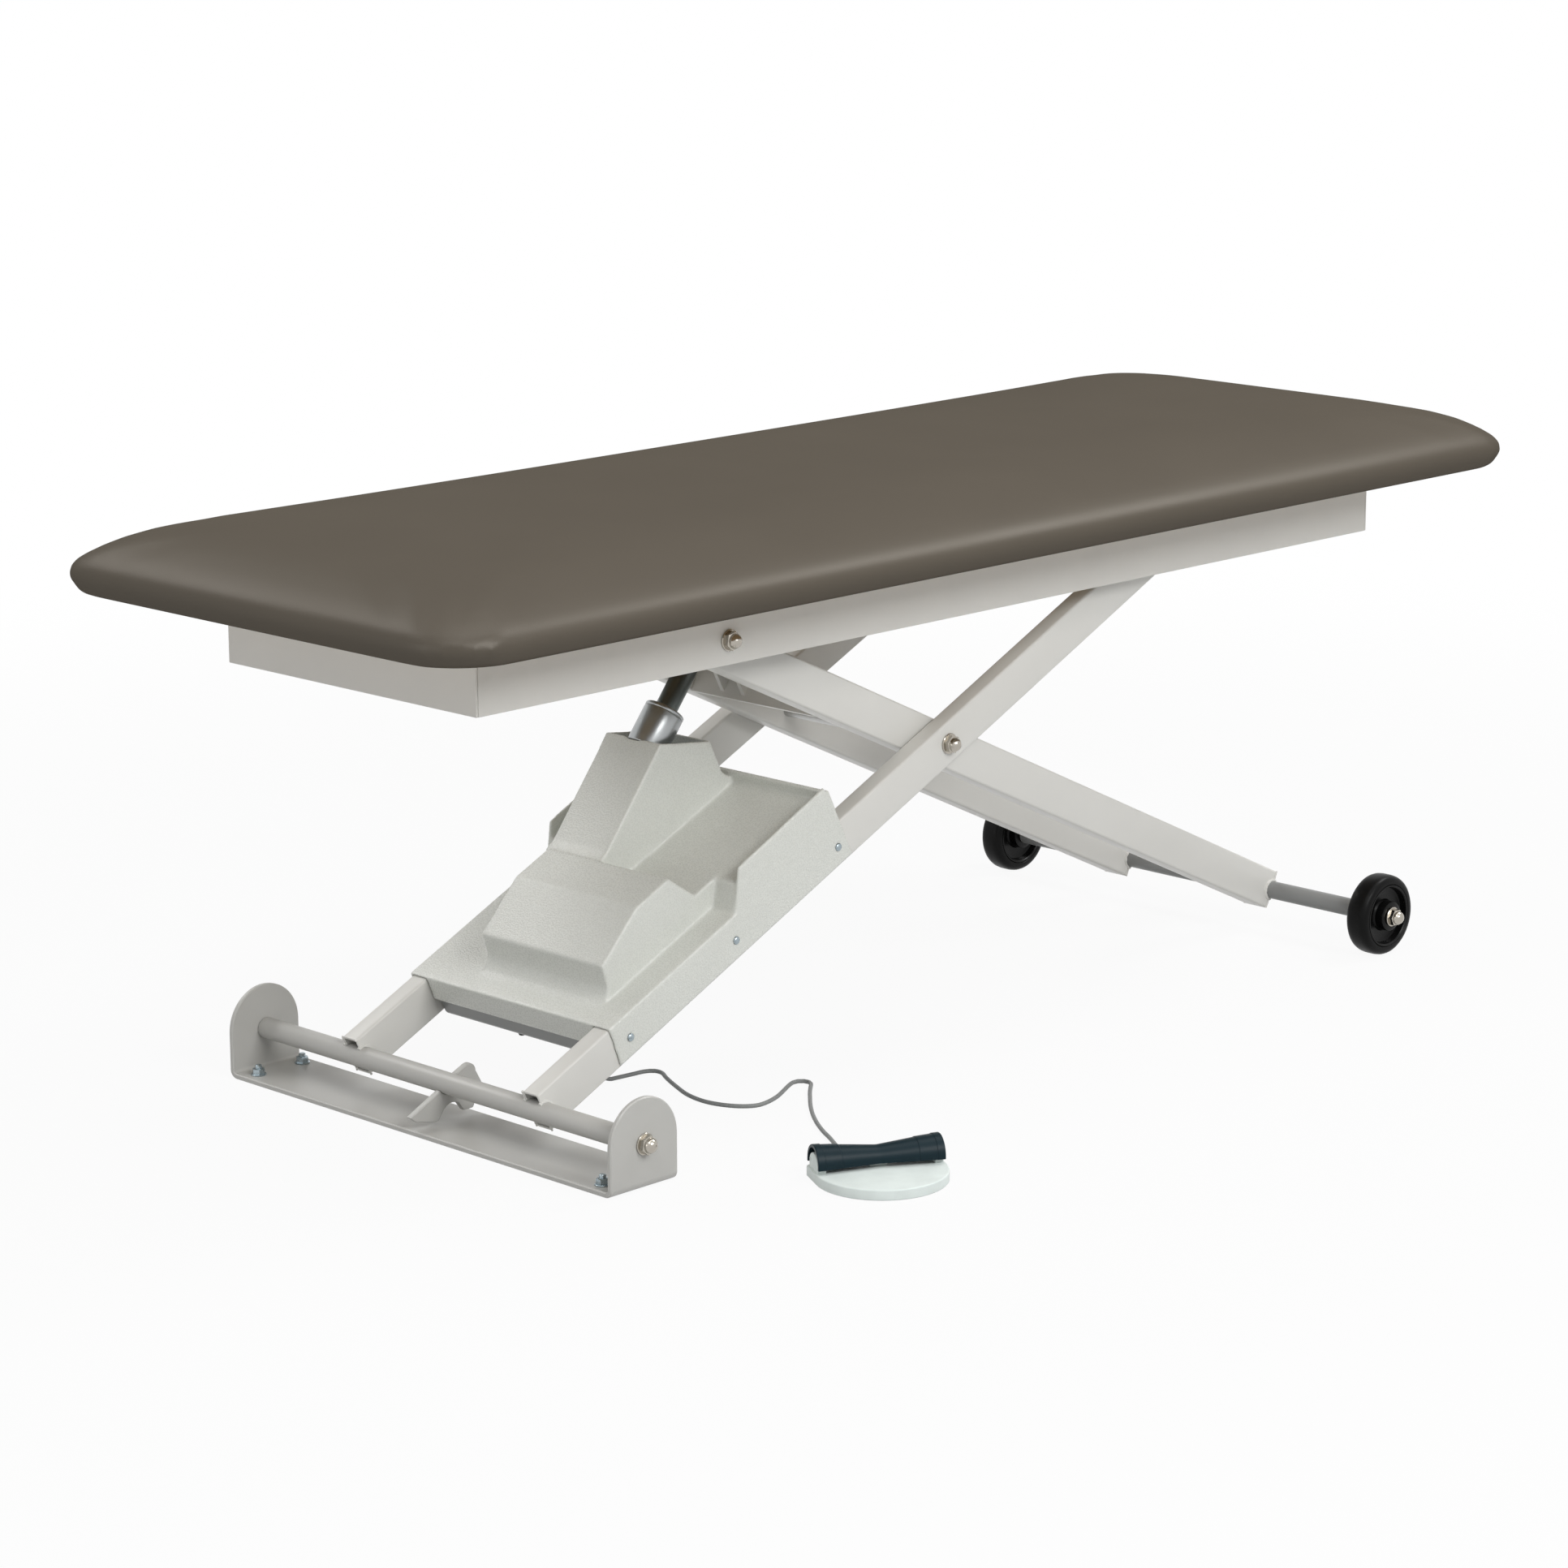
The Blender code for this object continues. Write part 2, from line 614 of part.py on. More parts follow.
# Outer arms, welded to the base shaft, with the stop lug under it
def make_outer_arms():
    half_shaft = BASE_WIDTH / 2 - BASE_PLATE - SEAT_GAP
    shaft_mesh = rods_mesh("Y", SHAFT_RADIUS, -half_shaft, half_shaft, [(0, 0, 0)])
    shaft = add_part("base_shaft", shaft_mesh, BASE_PAINT, OUTER)
    bore_depth = PIVOT_BOLT_REACH + RUNNING_GAP
    bore_radius = PIVOT_BOLT_RADIUS + RUNNING_GAP
    for side, shaft_end in (("near", -half_shaft), ("far", half_shaft)):
        low, high = shaft_end - bore_depth, shaft_end + bore_depth
        bore = rods_mesh("Y", bore_radius, low, high, [(0, 0, 0)], COARSE)
        cut(shaft, add_cutter("base_shaft_bore_" + side, bore, OUTER))

    reach = OUTER_ARM_FACE + ARM_WALL
    seat = SHAFT_RADIUS + SEAT_GAP
    cope = add_cutter("base_shaft_seat", rods_mesh("Y", seat, -reach, reach, [(0, 0, 0)]), OUTER)
    cross = rods_mesh("Y", CROSS_ROD_RADIUS + SEAT_GAP, -reach, reach, [(ARM_LOWER, 0, 0)])
    cross_hole = add_cutter("outer_cross_hole", cross, OUTER)
    axle = rods_mesh("Y", ROLLER_BORE + SEAT_GAP, -reach, reach, [(ARM_LENGTH, 0, 0)])
    axle_hole = add_cutter("roller_axle_hole", axle, OUTER)
    screw_hole = SCREW_RADIUS + SEAT_GAP
    screw_centres = [(along, 0, 0) for along in COVER_SCREWS_ALONG]
    end = ARM_LENGTH + ARM_END_MARGIN
    for side, sign in (("near", -1), ("far", 1)):
        middle = sign * (OUTER_ARM_FACE + OUTER_ARM_INNER) / 2
        low = (0, -OUTER_ARM_WIDTH / 2, -ARM_HALF)
        high = (end, OUTER_ARM_WIDTH / 2, ARM_HALF)
        arm = add_part("outer_arm_" + side, box_mesh(low, high), FRAME_PAINT, OUTER, (0, middle, 0))
        hollow = box_mesh((-ARM_WALL, -OUTER_ARM_WIDTH / 2 + ARM_WALL, -ARM_HALF + ARM_WALL),
                          (end + ARM_WALL, OUTER_ARM_WIDTH / 2 - ARM_WALL, ARM_HALF - ARM_WALL))
        cut(arm, add_cutter("outer_arm_hollow_" + side, hollow, OUTER, (0, middle, 0)))
        face = sign * OUTER_ARM_FACE
        low_y, high_y = sorted((face - sign * 2 * ARM_WALL, face + sign * ARM_WALL))
        screws = rods_mesh("Y", screw_hole, low_y, high_y, screw_centres, COARSE)
        for tool in (cope, cross_hole, axle_hole, add_cutter("arm_screw_holes_" + side, screws, OUTER)):
            cut(arm, tool)
    make_stop_lug()
    make_cross_pivot()


def make_stop_lug():
    """A plate across the shaft's middle that meets the base plate at both ends of the lift's travel."""
    outline = [(-LUG_TOE, -LUG_TOE_DROP), (-LUG_SOLE, -LUG_SOLE_DROP),
               (-LUG_FOOT_FRONT, -LUG_FOOT_DROP), (-LUG_FOOT_BACK, -LUG_FOOT_DROP)]
    outline += arc((LUG_ARCH_BACK, -LUG_FOOT_DROP), LUG_ARCH_RADIUS, *LUG_ARCH_ENDS)
    outline += [(LUG_HEEL_FRONT, -LUG_HEEL_DROP), (LUG_HEEL_BACK, -LUG_HEEL_DROP)]
    outline += [(LUG_BACK, -LUG_BACK_DROP)]
    peak = (LUG_HEEL_BACK - LUG_PEAK_RADIUS / 2, LUG_PEAK_RISE - LUG_PEAK_RADIUS)
    outline += arc(peak, LUG_PEAK_RADIUS, *LUG_PEAK_ENDS)
    outline += [(LUG_NAPE, LUG_NAPE), (-LUG_RAMP, -LUG_RAMP_DROP)]
    mesh = plate_mesh(outline, "XZ", -LUG_THICKNESS / 2, LUG_THICKNESS / 2)
    lug = add_part("stop_lug", mesh, BASE_PAINT, OUTER, rotation=LEVEL)
    reach = LUG_THICKNESS
    seat = rods_mesh("Y", SHAFT_RADIUS + SEAT_GAP, -reach, reach, [(0, 0, 0)])
    cut(lug, add_cutter("stop_lug_seat", seat, OUTER))


def make_cross_pivot():
    """A rod through all four arms, with a collar in each gap and a domed nut at each end."""
    collar_end = OUTER_ARM_INNER - SEAT_GAP
    collar_start = INNER_ARM_FACE + SEAT_GAP
    half = [(0, OUTER_ARM_FACE), (CROSS_ROD_RADIUS, OUTER_ARM_FACE), (CROSS_ROD_RADIUS, collar_end),
            (CROSS_COLLAR_RADIUS, collar_end), (CROSS_COLLAR_RADIUS, collar_start),
            (CROSS_ROD_RADIUS, collar_start)]
    profile = half + [(radius, -height) for radius, height in reversed(half)]
    add_part("cross_pivot_rod", turned_mesh(profile, MEDIUM, "Y"), STEEL, OUTER, (ARM_LOWER, 0, 0))
    add_pair("cross_pivot_nut", nut_profile(0, 0), NICKEL, OUTER, (ARM_LOWER, OUTER_ARM_FACE, 0))


# Top rollers on the outer arms' upper ends, running in the rails
def make_rollers():
    outer_end = RAIL_FACE - RAIL_WALL - ROLLER_SIDE_GAP
    inner_end = outer_end - ROLLER_WIDTH
    collar_end = inner_end - RUNNING_GAP
    collar_start = OUTER_ARM_FACE + SEAT_GAP
    half_axle = [(0, outer_end), (ROLLER_BORE, outer_end), (ROLLER_BORE, collar_end),
                 (ROLLER_COLLAR, collar_end), (ROLLER_COLLAR, collar_start), (ROLLER_BORE, collar_start)]
    profile = half_axle + [(radius, -height) for radius, height in reversed(half_axle)]
    add_part("roller_axle", turned_mesh(profile, MEDIUM, "Y"), STEEL, OUTER, (ARM_LENGTH, 0, 0))
    half = ROLLER_WIDTH / 2
    shoulder = ROLLER_RADIUS - ROLLER_EDGE
    running = ROLLER_BORE + RUNNING_GAP
    profile = [(running, half), (shoulder, half), (ROLLER_RADIUS, half - ROLLER_EDGE),
               (ROLLER_RADIUS, -half + ROLLER_EDGE), (shoulder, -half), (running, -half), (running, half)]
    for side, sign in (("near", -1), ("far", 1)):
        place = (ARM_LENGTH, sign * (inner_end + half), 0)
        add_part("roller_" + side, turned_mesh(profile, FINE, "Y"), BLACK_PLASTIC, OUTER, place, LEVEL)


# Inner arms, welded to the wheel axle below and to the top shaft above
def make_inner_arms():
    reach = INNER_ARM_FACE + ARM_WALL
    top_axis = [(ARM_UPPER, 0, 0)]
    axle_seat = rods_mesh("Y", AXLE_RADIUS + SEAT_GAP, -reach, reach, [(-ARM_LOWER, 0, 0)])
    shaft_seat = rods_mesh("Y", SHAFT_RADIUS + SEAT_GAP, -reach, reach, top_axis)
    cross_hole = rods_mesh("Y", CROSS_ROD_RADIUS + RUNNING_GAP, -reach, reach, [(0, 0, 0)])
    tools = [add_cutter("inner_cross_hole", cross_hole, INNER), add_cutter("axle_seat", axle_seat, INNER),
             add_cutter("top_shaft_seat", shaft_seat, INNER)]
    half = INNER_ARM_WIDTH / 2
    # The inner frame's Y axis points to the near side.
    for side, sign in (("near", 1), ("far", -1)):
        middle = sign * (INNER_ARM_FACE + INNER_ARM_INNER) / 2
        tube = box_mesh((-ARM_LOWER, -half, -ARM_HALF), (ARM_UPPER, half, ARM_HALF))
        arm = add_part("inner_arm_" + side, tube, FRAME_PAINT, INNER, (0, middle, 0))
        hollow = box_mesh((-ARM_LOWER - ARM_WALL, -half + ARM_WALL, -ARM_HALF + ARM_WALL),
                          (ARM_UPPER + ARM_WALL, half - ARM_WALL, ARM_HALF - ARM_WALL))
        cut(arm, add_cutter("inner_arm_hollow_" + side, hollow, INNER, (0, middle, 0)))
        for tool in tools:
            cut(arm, tool)

    half_shaft = RAIL_FACE - RAIL_WALL - SEAT_GAP
    shaft_mesh = rods_mesh("Y", SHAFT_RADIUS, -half_shaft, half_shaft, top_axis)
    shaft = add_part("top_shaft", shaft_mesh, FRAME_PAINT, INNER)
    depth = PIVOT_BOLT_REACH + RUNNING_GAP
    bore_radius = PIVOT_BOLT_RADIUS + RUNNING_GAP
    for side, shaft_end in (("near", half_shaft), ("far", -half_shaft)):
        bore = rods_mesh("Y", bore_radius, shaft_end - depth, shaft_end + depth, top_axis, COARSE)
        cut(shaft, add_cutter("top_shaft_bore_" + side, bore, INNER))

    shoulder = WHEEL_FACE - WHEEL_WIDTH / 2 - WHEEL_HUB_LENGTH / 2 - RUNNING_GAP
    axle_end = WHEEL_FACE - WHEEL_WIDTH / 2 + WHEEL_HUB_LENGTH / 2 + RUNNING_GAP
    profile = [(0, axle_end), (WHEEL_BORE, axle_end), (WHEEL_BORE, shoulder), (AXLE_RADIUS, shoulder),
               (AXLE_RADIUS, -shoulder), (WHEEL_BORE, -shoulder), (WHEEL_BORE, -axle_end), (0, -axle_end)]
    add_part("wheel_axle", turned_mesh(profile, MEDIUM, "Y"), MID_GREY_PAINT, INNER, (-ARM_LOWER, 0, 0))
    add_pair("wheel_axle_nut", nut_profile(0, 0), NICKEL, INNER, (-ARM_LOWER, axle_end, 0))
    make_rod_bracket()


def make_rod_bracket():
    """A cross plate between the inner arms, with two lugs that hold the actuator's rod end."""
    rest_tilt = REST_ANGLE + ACTUATOR_TILT
    rear_pin = outer_point(REAR_PIN_ALONG, REAR_PIN_ABOVE)
    rod_pin = rear_pin + ACTUATOR_LENGTH * Vector((math.cos(rest_tilt), 0, math.sin(rest_tilt)))
    offset = rod_pin - CROSS_PIVOT
    along = -offset.x * COS_REST + offset.z * SIN_REST
    above = offset.x * SIN_REST + offset.z * COS_REST
    plate_end = along - BRACKET_SETBACK
    plate_start = plate_end - BRACKET_PLATE
    reach = INNER_ARM_INNER - SEAT_GAP
    plate = box_mesh((plate_start, -reach, -ARM_HALF), (plate_end, reach, ARM_HALF))
    bracket = add_part("rod_bracket", plate, FRAME_PAINT, INNER)
    inside = plate_end - BRACKET_PLATE / 2
    outline = [(inside, -ARM_HALF + BRACKET_PLATE / 2)]
    outline += arc((along, above), LUG_RADIUS, *BRACKET_LUG_ENDS)
    outline += [(inside, ARM_HALF - BRACKET_PLATE / 2)]
    centre = -ACTUATOR_Y
    for side, sign in (("near", 1), ("far", -1)):
        low, high = sorted((centre + sign * LUG_SPACING, centre + sign * LUG_OUTER))
        fuse(bracket, add_cutter("rod_lug_" + side, plate_mesh(outline, "XZ", low, high), INNER))
        inner, outer = LUG_OUTER - LUG_PLATE / 2, LUG_OUTER + BRACKET_BOLT_HEAD
        low, high = sorted((centre + sign * inner, centre + sign * outer))
        head = rods_mesh("Y", BRACKET_BOLT_RADIUS, low, high, [(along, 0, above)], NUT_SIDES)
        fuse(bracket, add_cutter("rod_bolt_head_" + side, head, INNER))


# Floor wheels: a tyre on a dished hub
def make_wheels():
    half = WHEEL_WIDTH / 2
    hub_half = WHEEL_HUB_LENGTH / 2
    web_half = WHEEL_WEB / 2
    rim = WHEEL_RADIUS - WHEEL_TYRE
    rim_inside = rim - WHEEL_RIM_WALL
    seat = rim + SEAT_GAP
    shoulder = WHEEL_RADIUS - WHEEL_TYRE_EDGE
    tread_half = half - WHEEL_TYRE_EDGE
    bore = WHEEL_BORE + RUNNING_GAP
    tyre = [(seat, half), (shoulder, half), (WHEEL_RADIUS, tread_half), (WHEEL_RADIUS, -tread_half),
            (shoulder, -half), (seat, -half), (seat, half)]
    half_hub = [(bore, hub_half), (WHEEL_HUB_RADIUS, hub_half), (WHEEL_HUB_RADIUS, web_half),
                (rim_inside, web_half), (rim_inside, half), (rim, half)]
    hub = half_hub + [(radius, -height) for radius, height in reversed(half_hub)] + half_hub[:1]
    for side, sign in (("near", 1), ("far", -1)):
        place = (-ARM_LOWER, sign * (WHEEL_FACE - half), 0)
        add_part("wheel_tyre_" + side, turned_mesh(tyre, FINE, "Y"), WHEEL_RUBBER, INNER, place, LEVEL)
        add_part("wheel_hub_" + side, turned_mesh(hub, FINE, "Y"), BLACK_PLASTIC, INNER, place, LEVEL)


# Frame under the pad: two channel rails and two end plates, in the top pivot's frame
def make_top_frame():
    tip = RAIL_FACE - RAIL_FLANGE
    web = RAIL_FACE - RAIL_WALL
    inside_top = RAIL_TOP - RAIL_WALL
    inside_bottom = RAIL_BOTTOM + RAIL_WALL
    channel = [(RAIL_FACE, RAIL_BOTTOM), (RAIL_FACE, RAIL_TOP), (tip, RAIL_TOP), (tip, inside_top),
               (web, inside_top), (web, inside_bottom), (tip, inside_bottom), (tip, RAIL_BOTTOM)]
    reach = RAIL_FACE + RAIL_WALL
    hole = rods_mesh("Y", PIVOT_BOLT_RADIUS + SEAT_GAP, -reach, reach, [(0, 0, 0)])
    bolt_hole = add_cutter("rail_bolt_hole", hole, TOP)
    for side, sign in (("near", -1), ("far", 1)):
        outline = [(sign * y, z) for y, z in channel]
        rail = add_part("rail_" + side, plate_mesh(outline, "YZ", RAIL_START, RAIL_END), FRAME_PAINT, TOP)
        cut(rail, bolt_hole)
    base_face = RAIL_START - SEAT_GAP - END_PLATE
    wheel_face = RAIL_END + SEAT_GAP
    for name, face in (("end_plate_base", base_face), ("end_plate_wheel", wheel_face)):
        plate = box_mesh((face, -RAIL_FACE, RAIL_BOTTOM), (face + END_PLATE, RAIL_FACE, RAIL_TOP))
        add_part(name, plate, FRAME_PAINT, TOP)
    bolt = nut_profile(PIVOT_BOLT_RADIUS, RAIL_WALL + PIVOT_BOLT_REACH)
    add_pair("top_pivot_bolt", bolt, NICKEL, TOP, (0, RAIL_FACE, 0))


# Board and pad
def make_pad():
    half_length = PAD_LENGTH / 2 - BOARD_INSET
    half_width = PAD_WIDTH / 2 - BOARD_INSET
    low = (PAD_CENTRE_FROM_PIVOT - half_length, -half_width, BOARD_BOTTOM)
    high = (PAD_CENTRE_FROM_PIVOT + half_length, half_width, BOARD_BOTTOM + BOARD_THICKNESS)
    add_part("pad_board", box_mesh(low, high), PLYWOOD, TOP)
    pad = add_part("pad", pad_mesh(), PAD_VINYL, TOP, (PAD_CENTRE_FROM_PIVOT, 0, PAD_BOTTOM))
    gap = Vector((SEAT_GAP, SEAT_GAP, SEAT_GAP))
    pocket = box_mesh(Vector(low) - gap, Vector(high) + gap)
    cut(pad, add_cutter("board_pocket", pocket, TOP))


def pad_mesh():
    """The crowned pad: rounded rectangles stacked from the flat underside to the crown."""
    crown_height = PAD_THICKNESS - PAD_EDGE_HEIGHT
    levels = [(PAD_UNDERCUT, 0.0)]
    for ring in range(1, PAD_EDGE_RINGS + 1):
        share = ring / PAD_EDGE_RINGS
        levels.append((PAD_UNDERCUT * (1 - math.sin(share * math.pi / 2)), PAD_EDGE_HEIGHT * share))
    for ring in range(1, PAD_CROWN_RINGS + 1):
        share = 1 - math.cos(ring / PAD_CROWN_RINGS * math.pi / 2)
        rise = (1 - (1 - share) ** PAD_CROWN_POWER) ** (1 / PAD_CROWN_POWER)
        levels.append((PAD_CROWN_REACH * share, PAD_EDGE_HEIGHT + crown_height * rise))
    bm = bmesh.new()
    rings = []
    for pull_in, height in levels:
        rings.append([bm.verts.new((x, y, height)) for x, y in pad_outline(pull_in)])
    count = len(rings[0])
    for lower, upper in zip(rings, rings[1:]):
        for index in range(count):
            after = (index + 1) % count
            bm.faces.new((lower[index], lower[after], upper[after], upper[index]))
    bm.faces.new(reversed(rings[0]))
    bm.faces.new(rings[-1])
    return to_mesh(bm, smooth=True)


def pad_outline(pull_in):
    """A rounded rectangle inside the pad's widest outline, anticlockwise from above."""
    half_length = PAD_LENGTH / 2 - pull_in
    half_width = PAD_WIDTH / 2 - pull_in
    radius = min(PAD_CORNER_RADIUS + pull_in * PAD_CORNER_GROWTH, half_width * PAD_CORNER_LIMIT)
    points = []
    for corner, (x_sign, y_sign) in enumerate(((1, 1), (-1, 1), (-1, -1), (1, -1))):
        centre = (x_sign * (half_length - radius), y_sign * (half_width - radius))
        points += arc(centre, radius, 90 * corner, 90 * (corner + 1), PAD_CORNER_STEPS)
    return points


# Linear actuator: motor, gearbox and tube swing on the rear pin, and the rod slides in the tube
def make_actuator():
    gearbox_end = GEARBOX_START + GEARBOX_LENGTH
    side = GEARBOX_HALF_WIDTH
    block = box_mesh((GEARBOX_START, -side, -GEARBOX_BELOW), (gearbox_end, side, GEARBOX_ABOVE))
    gearbox = add_part("actuator_gearbox", block, BLACK_PLASTIC, ACTUATOR)
    root = GEARBOX_START + EYE_ROOT
    outline = arc((0, 0), EYE_RADIUS, 90, 270) + [(root, -EYE_RADIUS), (root, EYE_RADIUS)]
    half_eye = EYE_WIDTH / 2
    fuse(gearbox, add_cutter("rear_eye", plate_mesh(outline, "XZ", -half_eye, half_eye), ACTUATOR))
    bore_radius = ROD_RADIUS + RUNNING_GAP
    bore = rods_mesh("X", bore_radius, BORE_START, gearbox_end + GEARBOX_START, [(0, 0, 0)])
    cut(gearbox, add_cutter("gearbox_bore", bore, ACTUATOR))
    pin_hole = rods_mesh("Y", PIN_RADIUS + RUNNING_GAP, -side, side, [(0, 0, 0)])
    cut(gearbox, add_cutter("rear_pin_hole", pin_hole, ACTUATOR))

    motor_end = -side - SEAT_GAP
    motor_tail = motor_end - MOTOR_LENGTH
    cap_end = motor_tail + MOTOR_CAP_LENGTH
    cap_radius = MOTOR_RADIUS - MOTOR_CAP_STEP
    profile = [(0, motor_end), (MOTOR_RADIUS, motor_end), (MOTOR_RADIUS, cap_end), (cap_radius, cap_end),
               (cap_radius, motor_tail), (0, motor_tail)]
    motor = turned_mesh(profile, FINE, "Y")
    add_part("actuator_motor", motor, STEEL, ACTUATOR, (MOTOR_ALONG, 0, -MOTOR_BELOW))

    collar_start = TUBE_END - COLLAR_LENGTH
    start = gearbox_end + SEAT_GAP
    profile = [(bore_radius, TUBE_END), (COLLAR_RADIUS - COLLAR_CHAMFER, TUBE_END),
               (COLLAR_RADIUS, TUBE_END - COLLAR_CHAMFER), (COLLAR_RADIUS, collar_start),
               (TUBE_RADIUS, collar_start), (TUBE_RADIUS, start), (bore_radius, start),
               (bore_radius, TUBE_END)]
    add_part("actuator_tube", turned_mesh(profile, FINE, "X"), SILVER, ACTUATOR)

    rod = rods_mesh("X", ROD_RADIUS, ROD_START, ROD_START + ROD_LENGTH, [(0, 0, 0)])
    add_part("actuator_rod", rod, DARK_STEEL, ACTUATOR)
    eye_back = ACTUATOR_LENGTH - EYE_RADIUS
    outline = arc((ACTUATOR_LENGTH, 0), EYE_RADIUS, -90, 90)
    outline += [(eye_back, EYE_RADIUS), (eye_back, -EYE_RADIUS)]
    eye = add_part("rod_end_eye", plate_mesh(outline, "XZ", -half_eye, half_eye), STEEL, ACTUATOR)
    hole = rods_mesh("Y", PIN_RADIUS + SEAT_GAP, -EYE_WIDTH, EYE_WIDTH, [(ACTUATOR_LENGTH, 0, 0)])
    cut(eye, add_cutter("rod_pin_hole", hole, ACTUATOR))
    pin = rods_mesh("Y", PIN_RADIUS, -half_eye, half_eye, [(ACTUATOR_LENGTH, 0, 0)])
    add_part("rod_end_pin", pin, STEEL, ACTUATOR)


# Cross plate between the outer arms with the two lugs of the rear pin
def make_actuator_mount():
    reach = OUTER_ARM_INNER - SEAT_GAP
    bottom = -ARM_HALF
    half = MOUNT_PLATE_LENGTH / 2
    plate = box_mesh((REAR_PIN_ALONG - half, -reach, bottom),
                     (REAR_PIN_ALONG + half, reach, bottom + MOUNT_PLATE))
    mount = add_part("actuator_mount", plate, FRAME_PAINT, OUTER)
    middle = bottom + MOUNT_PLATE / 2
    outline = [(REAR_PIN_ALONG - LUG_RADIUS, middle), (REAR_PIN_ALONG + LUG_RADIUS, middle)]
    outline += arc((REAR_PIN_ALONG, REAR_PIN_ABOVE), LUG_RADIUS, 0, 180)
    for side, sign in (("near", -1), ("far", 1)):
        low, high = sorted((ACTUATOR_Y + sign * LUG_SPACING, ACTUATOR_Y + sign * LUG_OUTER))
        fuse(mount, add_cutter("rear_lug_" + side, plate_mesh(outline, "XZ", low, high), OUTER))
    hole_reach = LUG_OUTER + LUG_PLATE
    hole = rods_mesh("Y", PIN_RADIUS + SEAT_GAP, -hole_reach, hole_reach, [REAR_PIN])
    cut(mount, add_cutter("rear_lug_holes", hole, OUTER))
    pin = rods_mesh("Y", PIN_RADIUS, -LUG_OUTER, LUG_OUTER, [REAR_PIN])
    add_part("actuator_rear_pin", pin, STEEL, OUTER)


# Moulded cover: blocks fused outside, smaller blocks cut from below
VALLEY_START = STEP_START + STEP_RUN * STEP_VALLEY_SHARE


def cover_outlines():
    """Side outlines in the outer arms' frame, anticlockwise seen from the near side."""
    root = FLANGE_TOP - COVER_ROOT
    step_top = STEP_START + STEP_RUN
    slab = [(COVER_START - COVER_WALL, -COVER_SKIRT), (COVER_END, -COVER_SKIRT), (COVER_END, VALLEY_HEIGHT),
            (VALLEY_START, VALLEY_HEIGHT), (STEP_START, FLANGE_TOP), (COVER_START, FLANGE_TOP)]
    rim_end = COVER_END - RIM_WIDTH
    rim = [(STEP_START + COVER_WALL, root), (COVER_END, root), (COVER_END, VALLEY_HEIGHT),
           (rim_end, RIM_HEIGHT), (step_top, RIM_HEIGHT - COVER_WALL),
           (STEP_START, FLANGE_TOP - COVER_WALL / 2)]
    rim_root = VALLEY_HEIGHT - COVER_ROOT
    end_rim = rectangle(rim_end, COVER_END, rim_root, END_RIM_HEIGHT)
    cove = arc((BOX_FOOT, FLANGE_TOP + BOX_COVE), BOX_COVE, 0, -90, ARC_STEPS // 2)
    shelf = VALLEY_HEIGHT + COVER_WALL / 2
    box = [(BOX_FOOT, root), (step_top, root), (step_top, shelf), (BOX_BACK + BOX_BACK_RUN, shelf),
           (BOX_BACK, BOX_HEIGHT), (BOX_SLOPE_END, BOX_HEIGHT), (BOX_SLOPE_START, BOX_BULGE_HEIGHT)] + cove
    tower_end = COVER_END - COVER_WALL
    tower = [(BOX_BACK, root), (tower_end, root), (tower_end, VALLEY_HEIGHT), (TOWER_BACK, RIM_HEIGHT),
             (TOWER_BACK, TOWER_BACK_HEIGHT), (TOWER_FRONT, TOWER_HEIGHT), (TOWER_FOOT, BOX_HEIGHT),
             (BOX_BACK, BOX_HEIGHT - COVER_WALL)]
    return slab, rim, end_rim, box, tower


